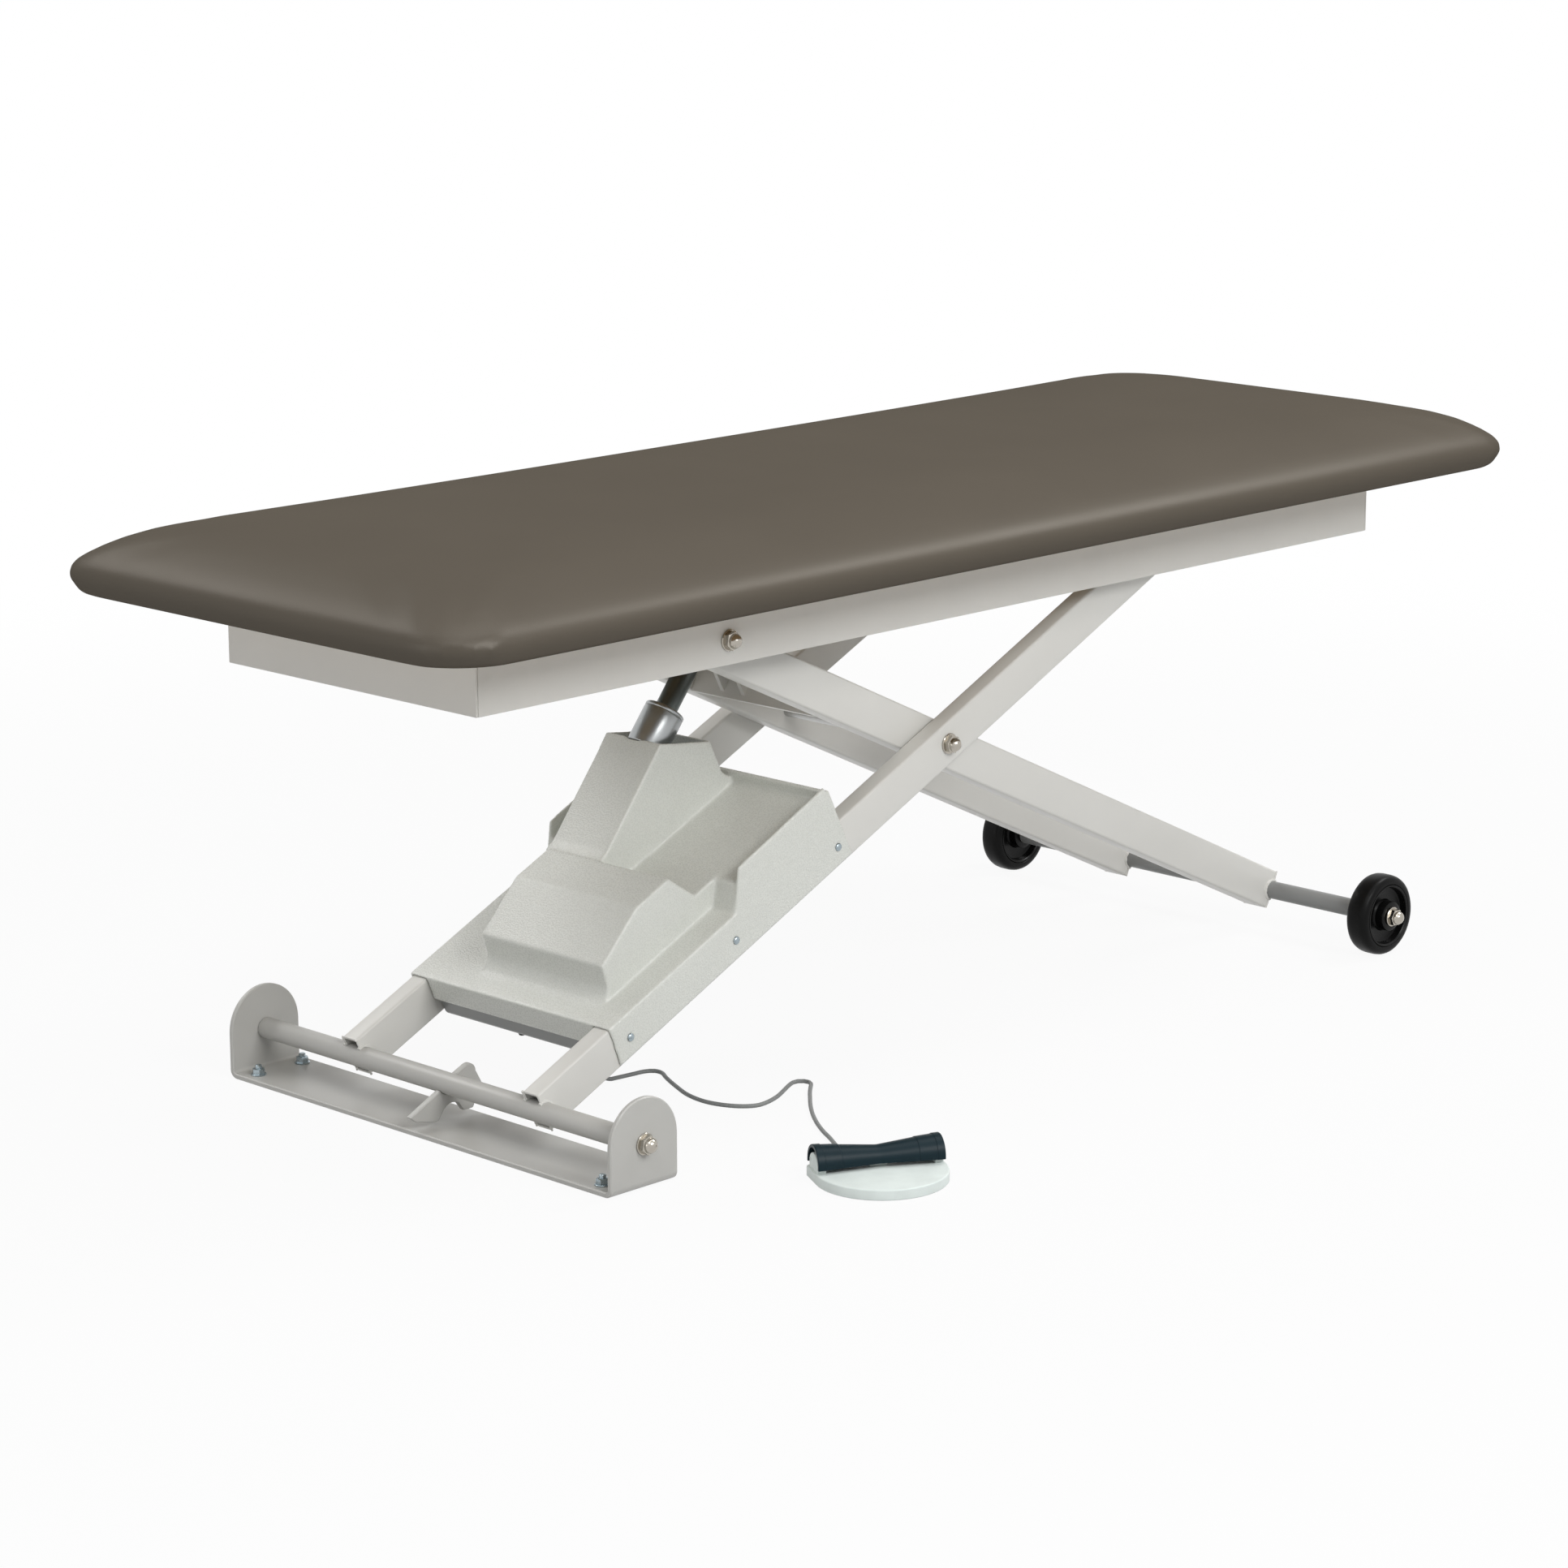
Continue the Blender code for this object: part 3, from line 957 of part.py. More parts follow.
def make_cover():
    slab, rim, end_rim, box, tower = cover_outlines()
    tower_near = ACTUATOR_Y - TOWER_HALF_WIDTH
    tower_far = ACTUATOR_Y + TOWER_HALF_WIDTH
    far_face = SKIRT_FACE - FAR_LEDGE
    side = SKIRT_FACE - COVER_DRAFT
    end_side = side - COVER_DRAFT
    cover = add_part("drive_cover", plate_mesh(slab, "XZ", -SKIRT_FACE, SKIRT_FACE), COVER_PLASTIC, OUTER)
    outside = (("rim_near", rim, -side, -SKIRT_FACE + RIM_WIDTH),
               ("rim_far", rim, far_face - RIM_WIDTH, side),
               ("end_rim", end_rim, -end_side, end_side),
               ("motor_box", box, BOX_NEAR, BOX_FAR),
               ("tower", tower, tower_near, tower_far))
    for name, outline, low, high in outside:
        fuse(cover, add_cutter("cover_" + name, plate_mesh(outline, "XZ", low, high), OUTER))

    ledge_top = FLANGE_TOP + COVER_DRAFT
    ledge = rectangle(STEP_START - COVER_WALL, COVER_END + COVER_WALL, ledge_top, RIM_HEIGHT + COVER_WALL)
    deep = COVER_SKIRT + COVER_WALL
    ceiling = FLANGE_TOP - COVER_WALL
    arm_bay = rectangle(COVER_START + COVER_WALL, COVER_END + COVER_WALL, -deep, ceiling)
    back = COVER_END - COVER_WALL
    valley_root = ceiling - COVER_WALL
    valley_top = VALLEY_HEIGHT - COVER_WALL
    valley_bay = [(STEP_START, valley_root), (back, valley_root), (back, valley_top),
                  (VALLEY_START, valley_top), (STEP_START, ceiling)]
    bay = OUTER_ARM_FACE + SEAT_GAP
    front_gap = (COVER_START - 2 * COVER_WALL, COVER_START + 2 * COVER_WALL, -deep)
    notch = OUTER_ARM_INNER - SEAT_GAP
    arm_notch = rectangle(*front_gap, ceiling)
    insides = (("far_ledge", ledge, far_face, SKIRT_FACE + COVER_WALL),
               ("arm_bay", arm_bay, -bay, bay),
               ("valley_bay", valley_bay, -bay + COVER_DRAFT, far_face - COVER_WALL),
               ("motor_bay", inset(box, COVER_WALL), BOX_NEAR + COVER_WALL, BOX_FAR - COVER_WALL),
               ("tube_bay", inset(tower, COVER_WALL), tower_near + COVER_WALL, tower_far - COVER_WALL),
               ("tower_top", tower_top_outline(), tower_near + TOWER_RIM, tower_far - TOWER_RIM),
               ("lip_gap", rectangle(*front_gap, FLANGE_TOP - COVER_LIP_DROP), -bay, bay),
               ("arm_notch_near", arm_notch, -bay, -notch),
               ("arm_notch_far", arm_notch, notch, bay))
    for name, outline, low, high in insides:
        cut(cover, add_cutter("cover_" + name, plate_mesh(outline, "XZ", low, high), OUTER))
    start = TUBE_END - COLLAR_LENGTH - RUNNING_GAP
    end = TUBE_END + COLLAR_LENGTH
    collar_room = rods_mesh("X", COLLAR_RADIUS + COLLAR_CLEARANCE, start, end, [(0, 0, 0)], FINE)
    cut(cover, add_cutter("cover_collar_room", collar_room, ACTUATOR))
    make_cover_screws(cover)


def rectangle(low, high, bottom, top):
    return [(low, bottom), (high, bottom), (high, top), (low, top)]


def tower_top_outline():
    """The open top between the tower's front and back walls."""
    front = Vector((TOWER_FRONT, TOWER_HEIGHT))
    back = Vector((TOWER_BACK, TOWER_BACK_HEIGHT))
    slope = (back - front).normalized()
    outward = Vector((-slope.y, slope.x))
    start = front + slope * TOWER_RIM
    end = back - slope * TOWER_RIM
    inner, outer = outward * COVER_ROOT, outward * COVER_WALL
    return [tuple(point) for point in (start - inner, end - inner, end + outer, start + outer)]


def make_cover_screws(cover):
    reach = SKIRT_FACE + COVER_WALL
    inside = OUTER_ARM_FACE - COVER_WALL
    centres = [(along, 0, 0) for along in COVER_SCREWS_ALONG]
    for side, sign in (("near", -1), ("far", 1)):
        low, high = sorted((sign * inside, sign * reach))
        holes = rods_mesh("Y", SCREW_RADIUS + SEAT_GAP, low, high, centres, COARSE)
        cut(cover, add_cutter("cover_screw_holes_" + side, holes, OUTER))
    tip = -COVER_WALL - SEAT_GAP - ARM_WALL
    crown = SEAT_GAP + SCREW_HEAD_HEIGHT
    profile = [(0, crown), (SCREW_CROWN_RADIUS, crown),
               (SCREW_HEAD_RADIUS, SEAT_GAP + SCREW_HEAD_HEIGHT / 2), (SCREW_HEAD_RADIUS, SEAT_GAP),
               (SCREW_RADIUS, SEAT_GAP), (SCREW_RADIUS, tip), (0, tip)]
    for number, along in enumerate(COVER_SCREWS_ALONG, 1):
        add_pair("cover_screw_" + str(number), profile, ZINC, OUTER, (along, SKIRT_FACE, 0))


# Control box between the outer arms, with the mains inlet and the foot switch's cord grip below it
def make_control_box():
    reach = OUTER_ARM_INNER - SEAT_GAP
    low = (CONTROL_START, -reach, -CONTROL_BOTTOM)
    high = (CONTROL_START + CONTROL_LENGTH, reach, CONTROL_TOP)
    box = add_part("control_box", box_mesh(low, high), MID_GREY_PAINT, OUTER)
    round_edges(box, CONTROL_BEVEL)
    inlet_top = -CONTROL_BOTTOM - SEAT_GAP
    inlet_end = inlet_top - INLET_LENGTH
    socket_top = inlet_top - INLET_LENGTH / 2
    profile = [(0, inlet_top), (INLET_RADIUS, inlet_top), (INLET_RADIUS, inlet_end),
               (INLET_SOCKET_RADIUS, inlet_end), (INLET_SOCKET_RADIUS, socket_top), (0, socket_top)]
    add_part("mains_inlet", turned_mesh(profile), BLACK_PLASTIC, OUTER, (INLET_ALONG, INLET_Y, 0))
    add_part("box_cord_grip", turned_mesh(grip_profile()), BLACK_PLASTIC, OUTER,
             (GRIP_ALONG, GRIP_Y, -CONTROL_BOTTOM - SEAT_GAP))


def grip_profile():
    """A tapered cord grip below its seat."""
    return [(0, 0), (GRIP_ROOT_RADIUS, 0), (GRIP_ROOT_RADIUS, -GRIP_COLLAR),
            (GRIP_TIP_RADIUS, -GRIP_LENGTH), (0, -GRIP_LENGTH)]


# Foot switch: a half-round base with two cheeks and a post, and a rocking hood over them
def make_foot_switch():
    plate_outline = arc((0, 0), SWITCH_RADIUS, 180, 360, MEDIUM)
    plate_outline += [(SWITCH_RADIUS, SWITCH_BACK), (-SWITCH_RADIUS, SWITCH_BACK)]
    plate = plate_mesh(plate_outline, "XY", 0, SWITCH_PLATE)
    base = add_part("foot_switch_base", plate, PALE_PLASTIC, SWITCH)
    root = SWITCH_PLATE / 2
    cheek = [(HOOD_BACK - CHEEK_HALF_WIDTH, root), (HOOD_BACK + CHEEK_HALF_WIDTH, root)]
    cheek += [(HOOD_BACK + CHEEK_HALF_WIDTH * across, HOOD_AXIS_HEIGHT + CHEEK_RISE * up)
              for across, up in arc((0, 0), 1, 0, 180)]
    end = HOOD_HALF_LENGTH - RUNNING_GAP
    for side, low in (("left", -end), ("right", end - CHEEK_LENGTH)):
        mesh = plate_mesh(cheek, "YZ", low, low + CHEEK_LENGTH)
        fuse(base, add_cutter("switch_cheek_" + side, mesh, SWITCH))
    post = [(HOOD_BACK - POST_RADIUS, root), (HOOD_BACK + POST_RADIUS, root)]
    post += arc((HOOD_BACK, HOOD_AXIS_HEIGHT), POST_RADIUS, 0, 180)
    half_post = POST_LENGTH / 2
    fuse(base, add_cutter("switch_post", plate_mesh(post, "YZ", -half_post, half_post), SWITCH))

    reach = HOOD_WAIST_RADIUS + HOOD_WALL
    axis_point = [(0, HOOD_BACK, HOOD_AXIS_HEIGHT)]
    post_hole = rods_mesh("Y", PEDAL_PIN_RADIUS + SEAT_GAP, -reach, reach, axis_point, COARSE)
    cut(base, add_cutter("post_pin_hole", post_hole, SWITCH))
    pin_half = HOOD_WAIST_RADIUS - SEAT_GAP
    pin = rods_mesh("Y", PEDAL_PIN_RADIUS, -pin_half, pin_half, axis_point, COARSE)
    add_part("pedal_pin", pin, STEEL, SWITCH)

    hood = add_part("foot_pedal", hood_mesh(), SLATE_PLASTIC, SWITCH, axis_point[0])
    shell = hood.modifiers.new("hood_wall", "SOLIDIFY")
    shell.thickness = HOOD_WALL
    shell.offset = -1
    hood_hole = rods_mesh("Y", PEDAL_PIN_RADIUS + RUNNING_GAP, -reach, reach, [(0, 0, 0)], COARSE)
    cut(hood, add_cutter("hood_pin_hole", hood_hole, SWITCH, axis_point[0]))
    grip_place = (SWITCH_GRIP_X, SWITCH_BACK + SEAT_GAP, SWITCH_GRIP_HEIGHT)
    grip = turned_mesh(grip_profile())
    add_part("switch_cord_grip", grip, SLATE_PLASTIC, SWITCH, grip_place, (math.pi / 2, 0, 0))


def hood_mesh():
    """Two half cones that meet at the waist, with straight skirts, round the rocking axis."""
    foot = SWITCH_PLATE + HOOD_LIFT - HOOD_AXIS_HEIGHT
    sections = []
    bm = bmesh.new()
    stations = ((-HOOD_HALF_LENGTH, HOOD_END_RADIUS), (0, HOOD_WAIST_RADIUS),
                (HOOD_HALF_LENGTH, HOOD_END_RADIUS))
    for along, radius in stations:
        outline = [(radius, foot)] + arc((0, 0), radius, 0, 180, COARSE) + [(-radius, foot)]
        sections.append([bm.verts.new((along, y, z)) for y, z in outline])
    for left, right in zip(sections, sections[1:]):
        for index in range(len(left) - 1):
            bm.faces.new((left[index], right[index], right[index + 1], left[index + 1]))
    return to_mesh(bm, smooth=True)


# Cord between the two grips, on a smooth curve through its route
def make_cord():
    bpy.context.view_layer.update()
    box_seat = Vector((GRIP_ALONG, GRIP_Y, -CONTROL_BOTTOM - SEAT_GAP))
    box_down = Vector((0, 0, -1))
    switch_seat = Vector((SWITCH_GRIP_X, SWITCH_BACK + SEAT_GAP, SWITCH_GRIP_HEIGHT))
    switch_out = Vector((0, 1, 0))
    tip = GRIP_LENGTH + SEAT_GAP
    starts = [OUTER.matrix_world @ (box_seat + box_down * reach) for reach in (tip, tip + CORD_LEAD)]
    ends = [SWITCH.matrix_world @ (switch_seat + switch_out * reach) for reach in (tip + CORD_LEAD, tip)]
    lying = CORD_RADIUS + CORD_FLOOR_GAP
    middle = [Vector(point) for point in CORD_DROP]
    middle += [Vector((*point, lying)) for point in CORD_ON_FLOOR] + [Vector(CORD_RISE)]
    points = smooth_points(starts + middle + ends, CORD_STEP)
    for point in points:
        point.z = max(point.z, lying)
    curve = bpy.data.curves.new("foot_switch_cord", "CURVE")
    curve.dimensions = "3D"
    curve.bevel_depth = CORD_RADIUS
    curve.bevel_resolution = CORD_BEVEL_STEPS
    curve.use_fill_caps = True
    spline = curve.splines.new("POLY")
    spline.points.add(len(points) - 1)
    for slot, point in zip(spline.points, points):
        slot.co = (*point, 1)
    curve.materials.append(CORD_GREY)
    cord = bpy.data.objects.new("foot_switch_cord", curve)
    PARTS.objects.link(cord)


def smooth_points(route, step):
    """Points at about one step apart on a Catmull-Rom curve through the route."""
    padded = [2 * route[0] - route[1], *route, 2 * route[-1] - route[-2]]
    points = [route[0]]
    for before, start, end, after in zip(padded, padded[1:], padded[2:], padded[3:]):
        count = max(1, round((end - start).length / step))
        for index in range(1, count + 1):
            points.append(catmull_rom(before, start, end, after, index / count))
    return points


def catmull_rom(before, start, end, after, share):
    slope_in = (end - before) / 2
    slope_out = (after - start) / 2
    square = share * share
    cube = square * share
    return ((2 * cube - 3 * square + 1) * start + (cube - 2 * square + share) * slope_in
            + (3 * square - 2 * cube) * end + (cube - square) * slope_out)


make_base()
make_outer_arms()
make_rollers()
make_inner_arms()
make_wheels()
make_top_frame()
make_pad()
make_actuator()
make_actuator_mount()
make_cover()
make_control_box()
make_foot_switch()
make_cord()
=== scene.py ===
"""Electric examination table: its finishes, soft pad, moulded cover, fittings and cord, in a white studio.

Metres, +Z up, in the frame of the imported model. "Near" is the -Y side, "far" the +Y side.
"""
import json
import math

import bmesh
import bpy
from mathutils import Matrix, Vector, noise


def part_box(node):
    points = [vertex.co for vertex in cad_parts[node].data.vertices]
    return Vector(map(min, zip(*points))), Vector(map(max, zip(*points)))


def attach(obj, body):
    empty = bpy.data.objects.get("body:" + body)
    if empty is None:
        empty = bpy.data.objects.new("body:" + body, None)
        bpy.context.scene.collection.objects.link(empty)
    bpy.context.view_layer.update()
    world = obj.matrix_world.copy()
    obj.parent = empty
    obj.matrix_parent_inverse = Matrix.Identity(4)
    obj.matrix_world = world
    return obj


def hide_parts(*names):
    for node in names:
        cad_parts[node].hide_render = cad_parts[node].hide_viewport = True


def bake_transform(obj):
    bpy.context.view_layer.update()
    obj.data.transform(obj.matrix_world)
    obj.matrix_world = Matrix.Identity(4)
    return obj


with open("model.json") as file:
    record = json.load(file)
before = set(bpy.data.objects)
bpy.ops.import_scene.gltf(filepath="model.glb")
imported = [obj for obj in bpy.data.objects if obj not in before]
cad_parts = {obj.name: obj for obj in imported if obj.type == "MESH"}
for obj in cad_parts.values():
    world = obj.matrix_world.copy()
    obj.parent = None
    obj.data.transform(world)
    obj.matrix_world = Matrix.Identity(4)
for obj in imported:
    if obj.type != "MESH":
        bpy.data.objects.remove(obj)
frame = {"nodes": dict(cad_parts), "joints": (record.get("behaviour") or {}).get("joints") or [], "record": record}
NODES = frame["nodes"]
JOINTS = {joint["name"]: joint for joint in frame["joints"]}
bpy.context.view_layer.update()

# Camera, fitted to the photograph's square frame
CAMERA_PLACE = (-3.2649, -3.7438, 1.5784)
CAMERA_HEADING = 0.7945
CAMERA_DIP = 0.2341
CAMERA_ROLL = -0.0032
CAMERA_LENS = 105.1
CAMERA_SENSOR = 36.0

# Pad
PAD_LOW, PAD_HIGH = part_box("pad")
PAD_EDGE_HEIGHT = 0.021
PAD_EDGE_RINGS = 8
PAD_UNDERCUT = 0.010
PAD_CROWN_REACH = 0.22
PAD_CROWN_POWER = 2.2
PAD_CROWN_RINGS = 22
PAD_CORNER_RADIUS = 0.075
PAD_CORNER_GROWTH = 0.25
PAD_CORNER_LIMIT = 0.9
PAD_CORNER_STEPS = 20
PAD_HEM_WIDTH = 0.040
PAD_HEM_INSET = 0.004
PAD_HEM_LIFT = 0.0015
PAD_SWELL = 0.004
PAD_VOXEL = 0.008
PAD_SMOOTHING = 4
PAD_PRESSURE = 4.0
PAD_FRAMES = 20

# Arm tubes and welds
TUBE_WALL = 0.0025
TUBE_CORNER = 0.0032
TUBE_INNER_CORNER = 0.0017
CORNER_STEPS = 4
WELD_RADIUS = 0.0022
WELD_THIN = 0.6
WELD_SINK = 3.0
WELD_LUMPS = 0.5
WELD_SIDES = 8
WELD_STEPS = 28
WELD_ARCS = {"high": (80, 280), "low": (-100, 100)}
LUMP_SCALE = 260.0

# Base bracket
BASE_PLATE = 0.0063
BASE_BEND = 0.010
BASE_EDGE = 0.0013
EAR_STEPS = 20
BEND_STEPS = 8

# Round bars
ROUND_STEPS = 64
SMOOTH_ANGLE = 35
BAR_CHAMFER = 0.0009
STUB_RADIUS = 0.008
STUB_LENGTH = 0.0412
ROLLER_BORE = 0.0076
ROLLER_AXLE_RADIUS = 0.007
ROLLER_SPAN = 0.0246
ROLLER_COLLAR_LENGTH = 0.0094
ROLLER_GROOVE = 0.0015
ACTUATOR_BORE = 0.0141
ACTUATOR_RADIUS = 0.0185
COLLAR_LENGTH = 0.0525
COLLAR_LIP = 0.0045
COLLAR_GROOVE = 0.0009
MOTOR_CAP_LENGTH = 0.014
MOTOR_CAP_STEP = 0.003
GRIP_COLLAR = 0.004
GRIP_TIP_RADIUS = 0.0042
GRIP_RIBS = 4
GRIP_RIB_DEPTH = 0.0006
GRIP_RIB_SHARE = 0.8

# Fasteners
HEX_SIDES = 6
HEX_SHARE = 0.5774
NUT_STACK = 0.0173
NUT_TURN = 0.35
NUT_WASHER_SHARE = 0.14
NUT_SHOULDER_SHARE = 0.52
NUT_FLATS_SHARE = 1.55
NUT_DOME_SHARE = 0.45
NUT_CHAMFER = 0.0008
DOME_STEPS = 10
STUD_NUMBERS = (1, 2, 3, 4)
STUD_WASHER = 0.0016
STUD_NUT_TOP = 0.0082
STUD_SHARE = 0.43
STUD_FLATS_SHARE = 1.45
STUD_TURN = 0.5
SCREW_NUMBERS = (1, 2, 3)
SCREW_HEAD = 0.0026

# Edges of the CAD nodes that stay in view
WELD_GAP = 0.00002
FLAT_ANGLE = math.radians(1)
EDGE_ANGLE = math.radians(40)
EDGE_SEGMENTS = 2
EASED_EDGES = {
    "stop_lug": 0.0014, "rail_near": 0.0012, "rail_far": 0.0012, "end_plate_base": 0.0010,
    "end_plate_wheel": 0.0010, "actuator_mount": 0.0008, "rod_bracket": 0.0008, "pad_board": 0.0008,
    "actuator_gearbox": 0.0012, "rod_end_eye": 0.0008,
}

# Wheels: (radius, height) profiles from the bore's outer edge to the middle of the rim
WHEEL_STEPS = 96
WHEEL_SMOOTH_ANGLE = 28
TYRE_HALF = (
    (0.0403, 0.0150), (0.0412, 0.0160), (0.0440, 0.0160), (0.0475, 0.0150), (0.0500, 0.0128),
    (0.0514, 0.0095), (0.0520, 0.0050),
)
HUB_HALF = (
    (0.0086, 0.0200), (0.0172, 0.0200), (0.0186, 0.0194), (0.0190, 0.0180), (0.0193, 0.0085),
    (0.0210, 0.0063), (0.0330, 0.0060), (0.0352, 0.0070), (0.0362, 0.0095), (0.0370, 0.0148),
    (0.0380, 0.0158), (0.0398, 0.0158), (0.0400, 0.0150),
)

# Moulded cover
COVER_VOXEL = 0.0014
COVER_SMOOTHING = 26
COVER_SMOOTH_FACTOR = 0.5
COVER_KEEP = 0.4
COVER_SKIRT_BAND = 0.020
COVER_SKIRT_HOLD = 0.12
COVER_TOP_BAND = 0.014
COVER_TOP_HOLD = 0.3

# Foot switch: edges as (inset, height), hood stations as (distance from the waist, radius)
SWITCH_RADIUS = 0.0745
SWITCH_BACK = 0.0405
SWITCH_PLATE = 0.012
SWITCH_STEPS = 48
SWITCH_CORNER = 0.006
SWITCH_CORNER_STEPS = 6
SWITCH_EDGE = (
    (0.0008, 0.0), (0.0, 0.0008), (0.0, 0.0104), (0.0003, 0.0113), (0.0009, 0.0118), (0.0018, 0.0120),
)
HOOD_HALF_LENGTH = 0.073
HOOD_WALL = 0.003
HOOD_STEPS = 32
HOOD_SMOOTH_ANGLE = 25
HOOD_STATIONS = (
    (0.0, 0.0145), (0.0030, 0.0147), (0.0440, 0.0187), (0.0446, 0.0194), (0.0640, 0.0206),
    (0.0646, 0.0213), (0.0722, 0.0215), (0.0730, 0.0210),
)
CHEEK_GAP = 0.0006
CHEEK_LENGTH = 0.010
CHEEK_HALF_WIDTH = 0.0155
CHEEK_RISE = 0.012
CHEEK_STEPS = 24
CHEEK_EDGE = ((0.0010, 0.0), (0.0003, 0.0003), (0.0, 0.0010), (0.0, CHEEK_LENGTH))
POST_RADIUS = 0.0055
POST_HALF_LENGTH = 0.010
POST_STEPS = 12

# Cord, the route's points as in the part's source
CORD_DIAMETER = 0.005
CORD_STEP = 0.005
CORD_SIDES = 16
CORD_SMOOTH_ANGLE = 60
CORD_SEAT = 0.0003
CORD_LEAD = 0.010
CORD_FLOOR_GAP = 0.0002
CORD_DROP = ((0.206, -0.010, 0.055), (0.224, -0.0085, 0.018), (0.244, -0.0085, 0.004))
CORD_ON_FLOOR = (
    (0.262, -0.0105), (0.281, -0.013), (0.2965, -0.015), (0.3065, -0.022), (0.3068, -0.0345),
    (0.296, -0.0535), (0.280, -0.087), (0.268, -0.1165), (0.2632, -0.145), (0.2665, -0.169),
    (0.277, -0.1905), (0.293, -0.2035), (0.312, -0.2035), (0.335, -0.1965), (0.357, -0.1855),
    (0.3735, -0.1768), (0.3866, -0.1715), (0.3939, -0.1722), (0.3992, -0.1771), (0.4003, -0.1843),
    (0.3968, -0.1907), (0.3885, -0.1982), (0.3745, -0.2106), (0.3582, -0.2265), (0.337, -0.2478),
    (0.315, -0.2725), (0.2945, -0.299), (0.277, -0.3258), (0.264, -0.349), (0.251, -0.370),
)
CORD_RISE = (0.240, -0.388, 0.004)

# Light and floor: lamps as (name, place, target, size, watts)
WHITE = (1.0, 1.0, 1.0)
FLOOR_HALF = 9.0
FLOOR_COLOUR = (0.55, 0.55, 0.55)
FLOOR_GLOW = 0.93
FLOOR_FADE = (1.4, 3.2)
FLOOR_CENTRE = (0.6, 0.0, 0.0)
WORLD_LIGHT = 0.31
SOFTBOXES = (
    ("key", (-2.0, -1.6, 3.6), (0.3, 0.0, 0.4), (1.8, 1.8), 26),
    ("front", (0.0, -3.6, 2.6), (0.5, 0.0, 0.4), (2.4, 1.4), 94),
    ("right", (3.2, -1.0, 3.2), (0.7, 0.0, 0.4), (1.0, 1.0), 54),
    ("top", (0.6, -0.2, 3.6), (0.6, 0.0, 0.5), (3.0, 2.0), 33),
    ("back", (-0.5, 2.8, 2.95), (0.3, 0.0, 0.3), (2.2, 0.9), 42),
    ("left", (-3.4, 0.6, 0.9), (0.3, 0.0, 0.4), (2.0, 1.2), 15),
)


# Frames of the moving bodies, from the record's joints
def frame_matrix(origin, along, across):
    along = along.normalized()
    across = across.normalized()
    up = along.cross(across)
    return Matrix.Translation(origin) @ Matrix((along, across, up)).transposed().to_4x4()


def joint_place(name):
    return Vector(JOINTS[name]["pos_m"])


SIDE = Vector((0, 1, 0))
BASE_SHAFT = joint_place("lift")
CROSS_PIVOT = joint_place("scissor")
TOP_PIVOT = joint_place("top_level")
OUTER = frame_matrix(BASE_SHAFT, CROSS_PIVOT - BASE_SHAFT, SIDE)
INNER = frame_matrix(CROSS_PIVOT, TOP_PIVOT - CROSS_PIVOT, -SIDE)
ACTUATOR = frame_matrix(joint_place("actuator_swing"), Vector(JOINTS["actuator_stroke"]["axis"]), SIDE)
PEDAL_AXIS = Vector(JOINTS["pedal_rock"]["axis"])
PEDAL = frame_matrix(joint_place("pedal_rock"), PEDAL_AXIS.cross(Vector((0, 0, 1))), PEDAL_AXIS)
LEVEL = Matrix.Identity(4)


def local_box(node, place):
    """Lowest and highest corner of a node at rest, in a frame of its own."""
    inverse = place.inverted()
    points = [inverse @ vertex.co for vertex in NODES[node].data.vertices]
    low = Vector(min(point[axis] for point in points) for axis in range(3))
    high = Vector(max(point[axis] for point in points) for axis in range(3))
    return low, high


# Shader expressions
class Signal:
    """A shader socket that can stand in a Python expression, which adds its Math nodes."""

    def __init__(self, shading, socket):
        self.shading = shading
        self.socket = socket

    def __add__(self, other):
        return self.shading.maths("ADD", self, other)

    def __mul__(self, other):
        return self.shading.maths("MULTIPLY", self, other)

    __radd__ = __add__
    __rmul__ = __mul__


class Shading:
    """The nodes of a material or of the world."""

    def __init__(self, tree):
        self.tree = tree

    def put(self, socket, value):
        if isinstance(value, Signal):
            self.tree.links.new(value.socket, socket)
        elif socket.type == "RGBA":
            socket.default_value = (*value, 1.0)
        else:
            socket.default_value = value

    def node(self, kind, settings=None, sockets=None, output=0):
        node = self.tree.nodes.new(kind)
        for name, value in (settings or {}).items():
            setattr(node, name, value)
        for name, value in (sockets or {}).items():
            self.put(node.inputs[name], value)
        return Signal(self, node.outputs[output])

    def maths(self, operation, first, second):
        return self.node("ShaderNodeMath", {"operation": operation}, {0: first, 1: second})

    def backdrop_share(self):
        """1 for rays that look at the background: straight, in a reflection or through glass."""
        share, *others = [self.node("ShaderNodeLightPath", output=name)
                          for name in ("Is Camera Ray", "Is Glossy Ray", "Is Transmission Ray")]
        for other in others:
            share = self.maths("MAXIMUM", share, other)
        return share

    def surface(self, signal):
        kinds = ("OUTPUT_MATERIAL", "OUTPUT_WORLD")
        outlet = next(node for node in self.tree.nodes if node.type in kinds)
        self.put(outlet.inputs["Surface"], signal)


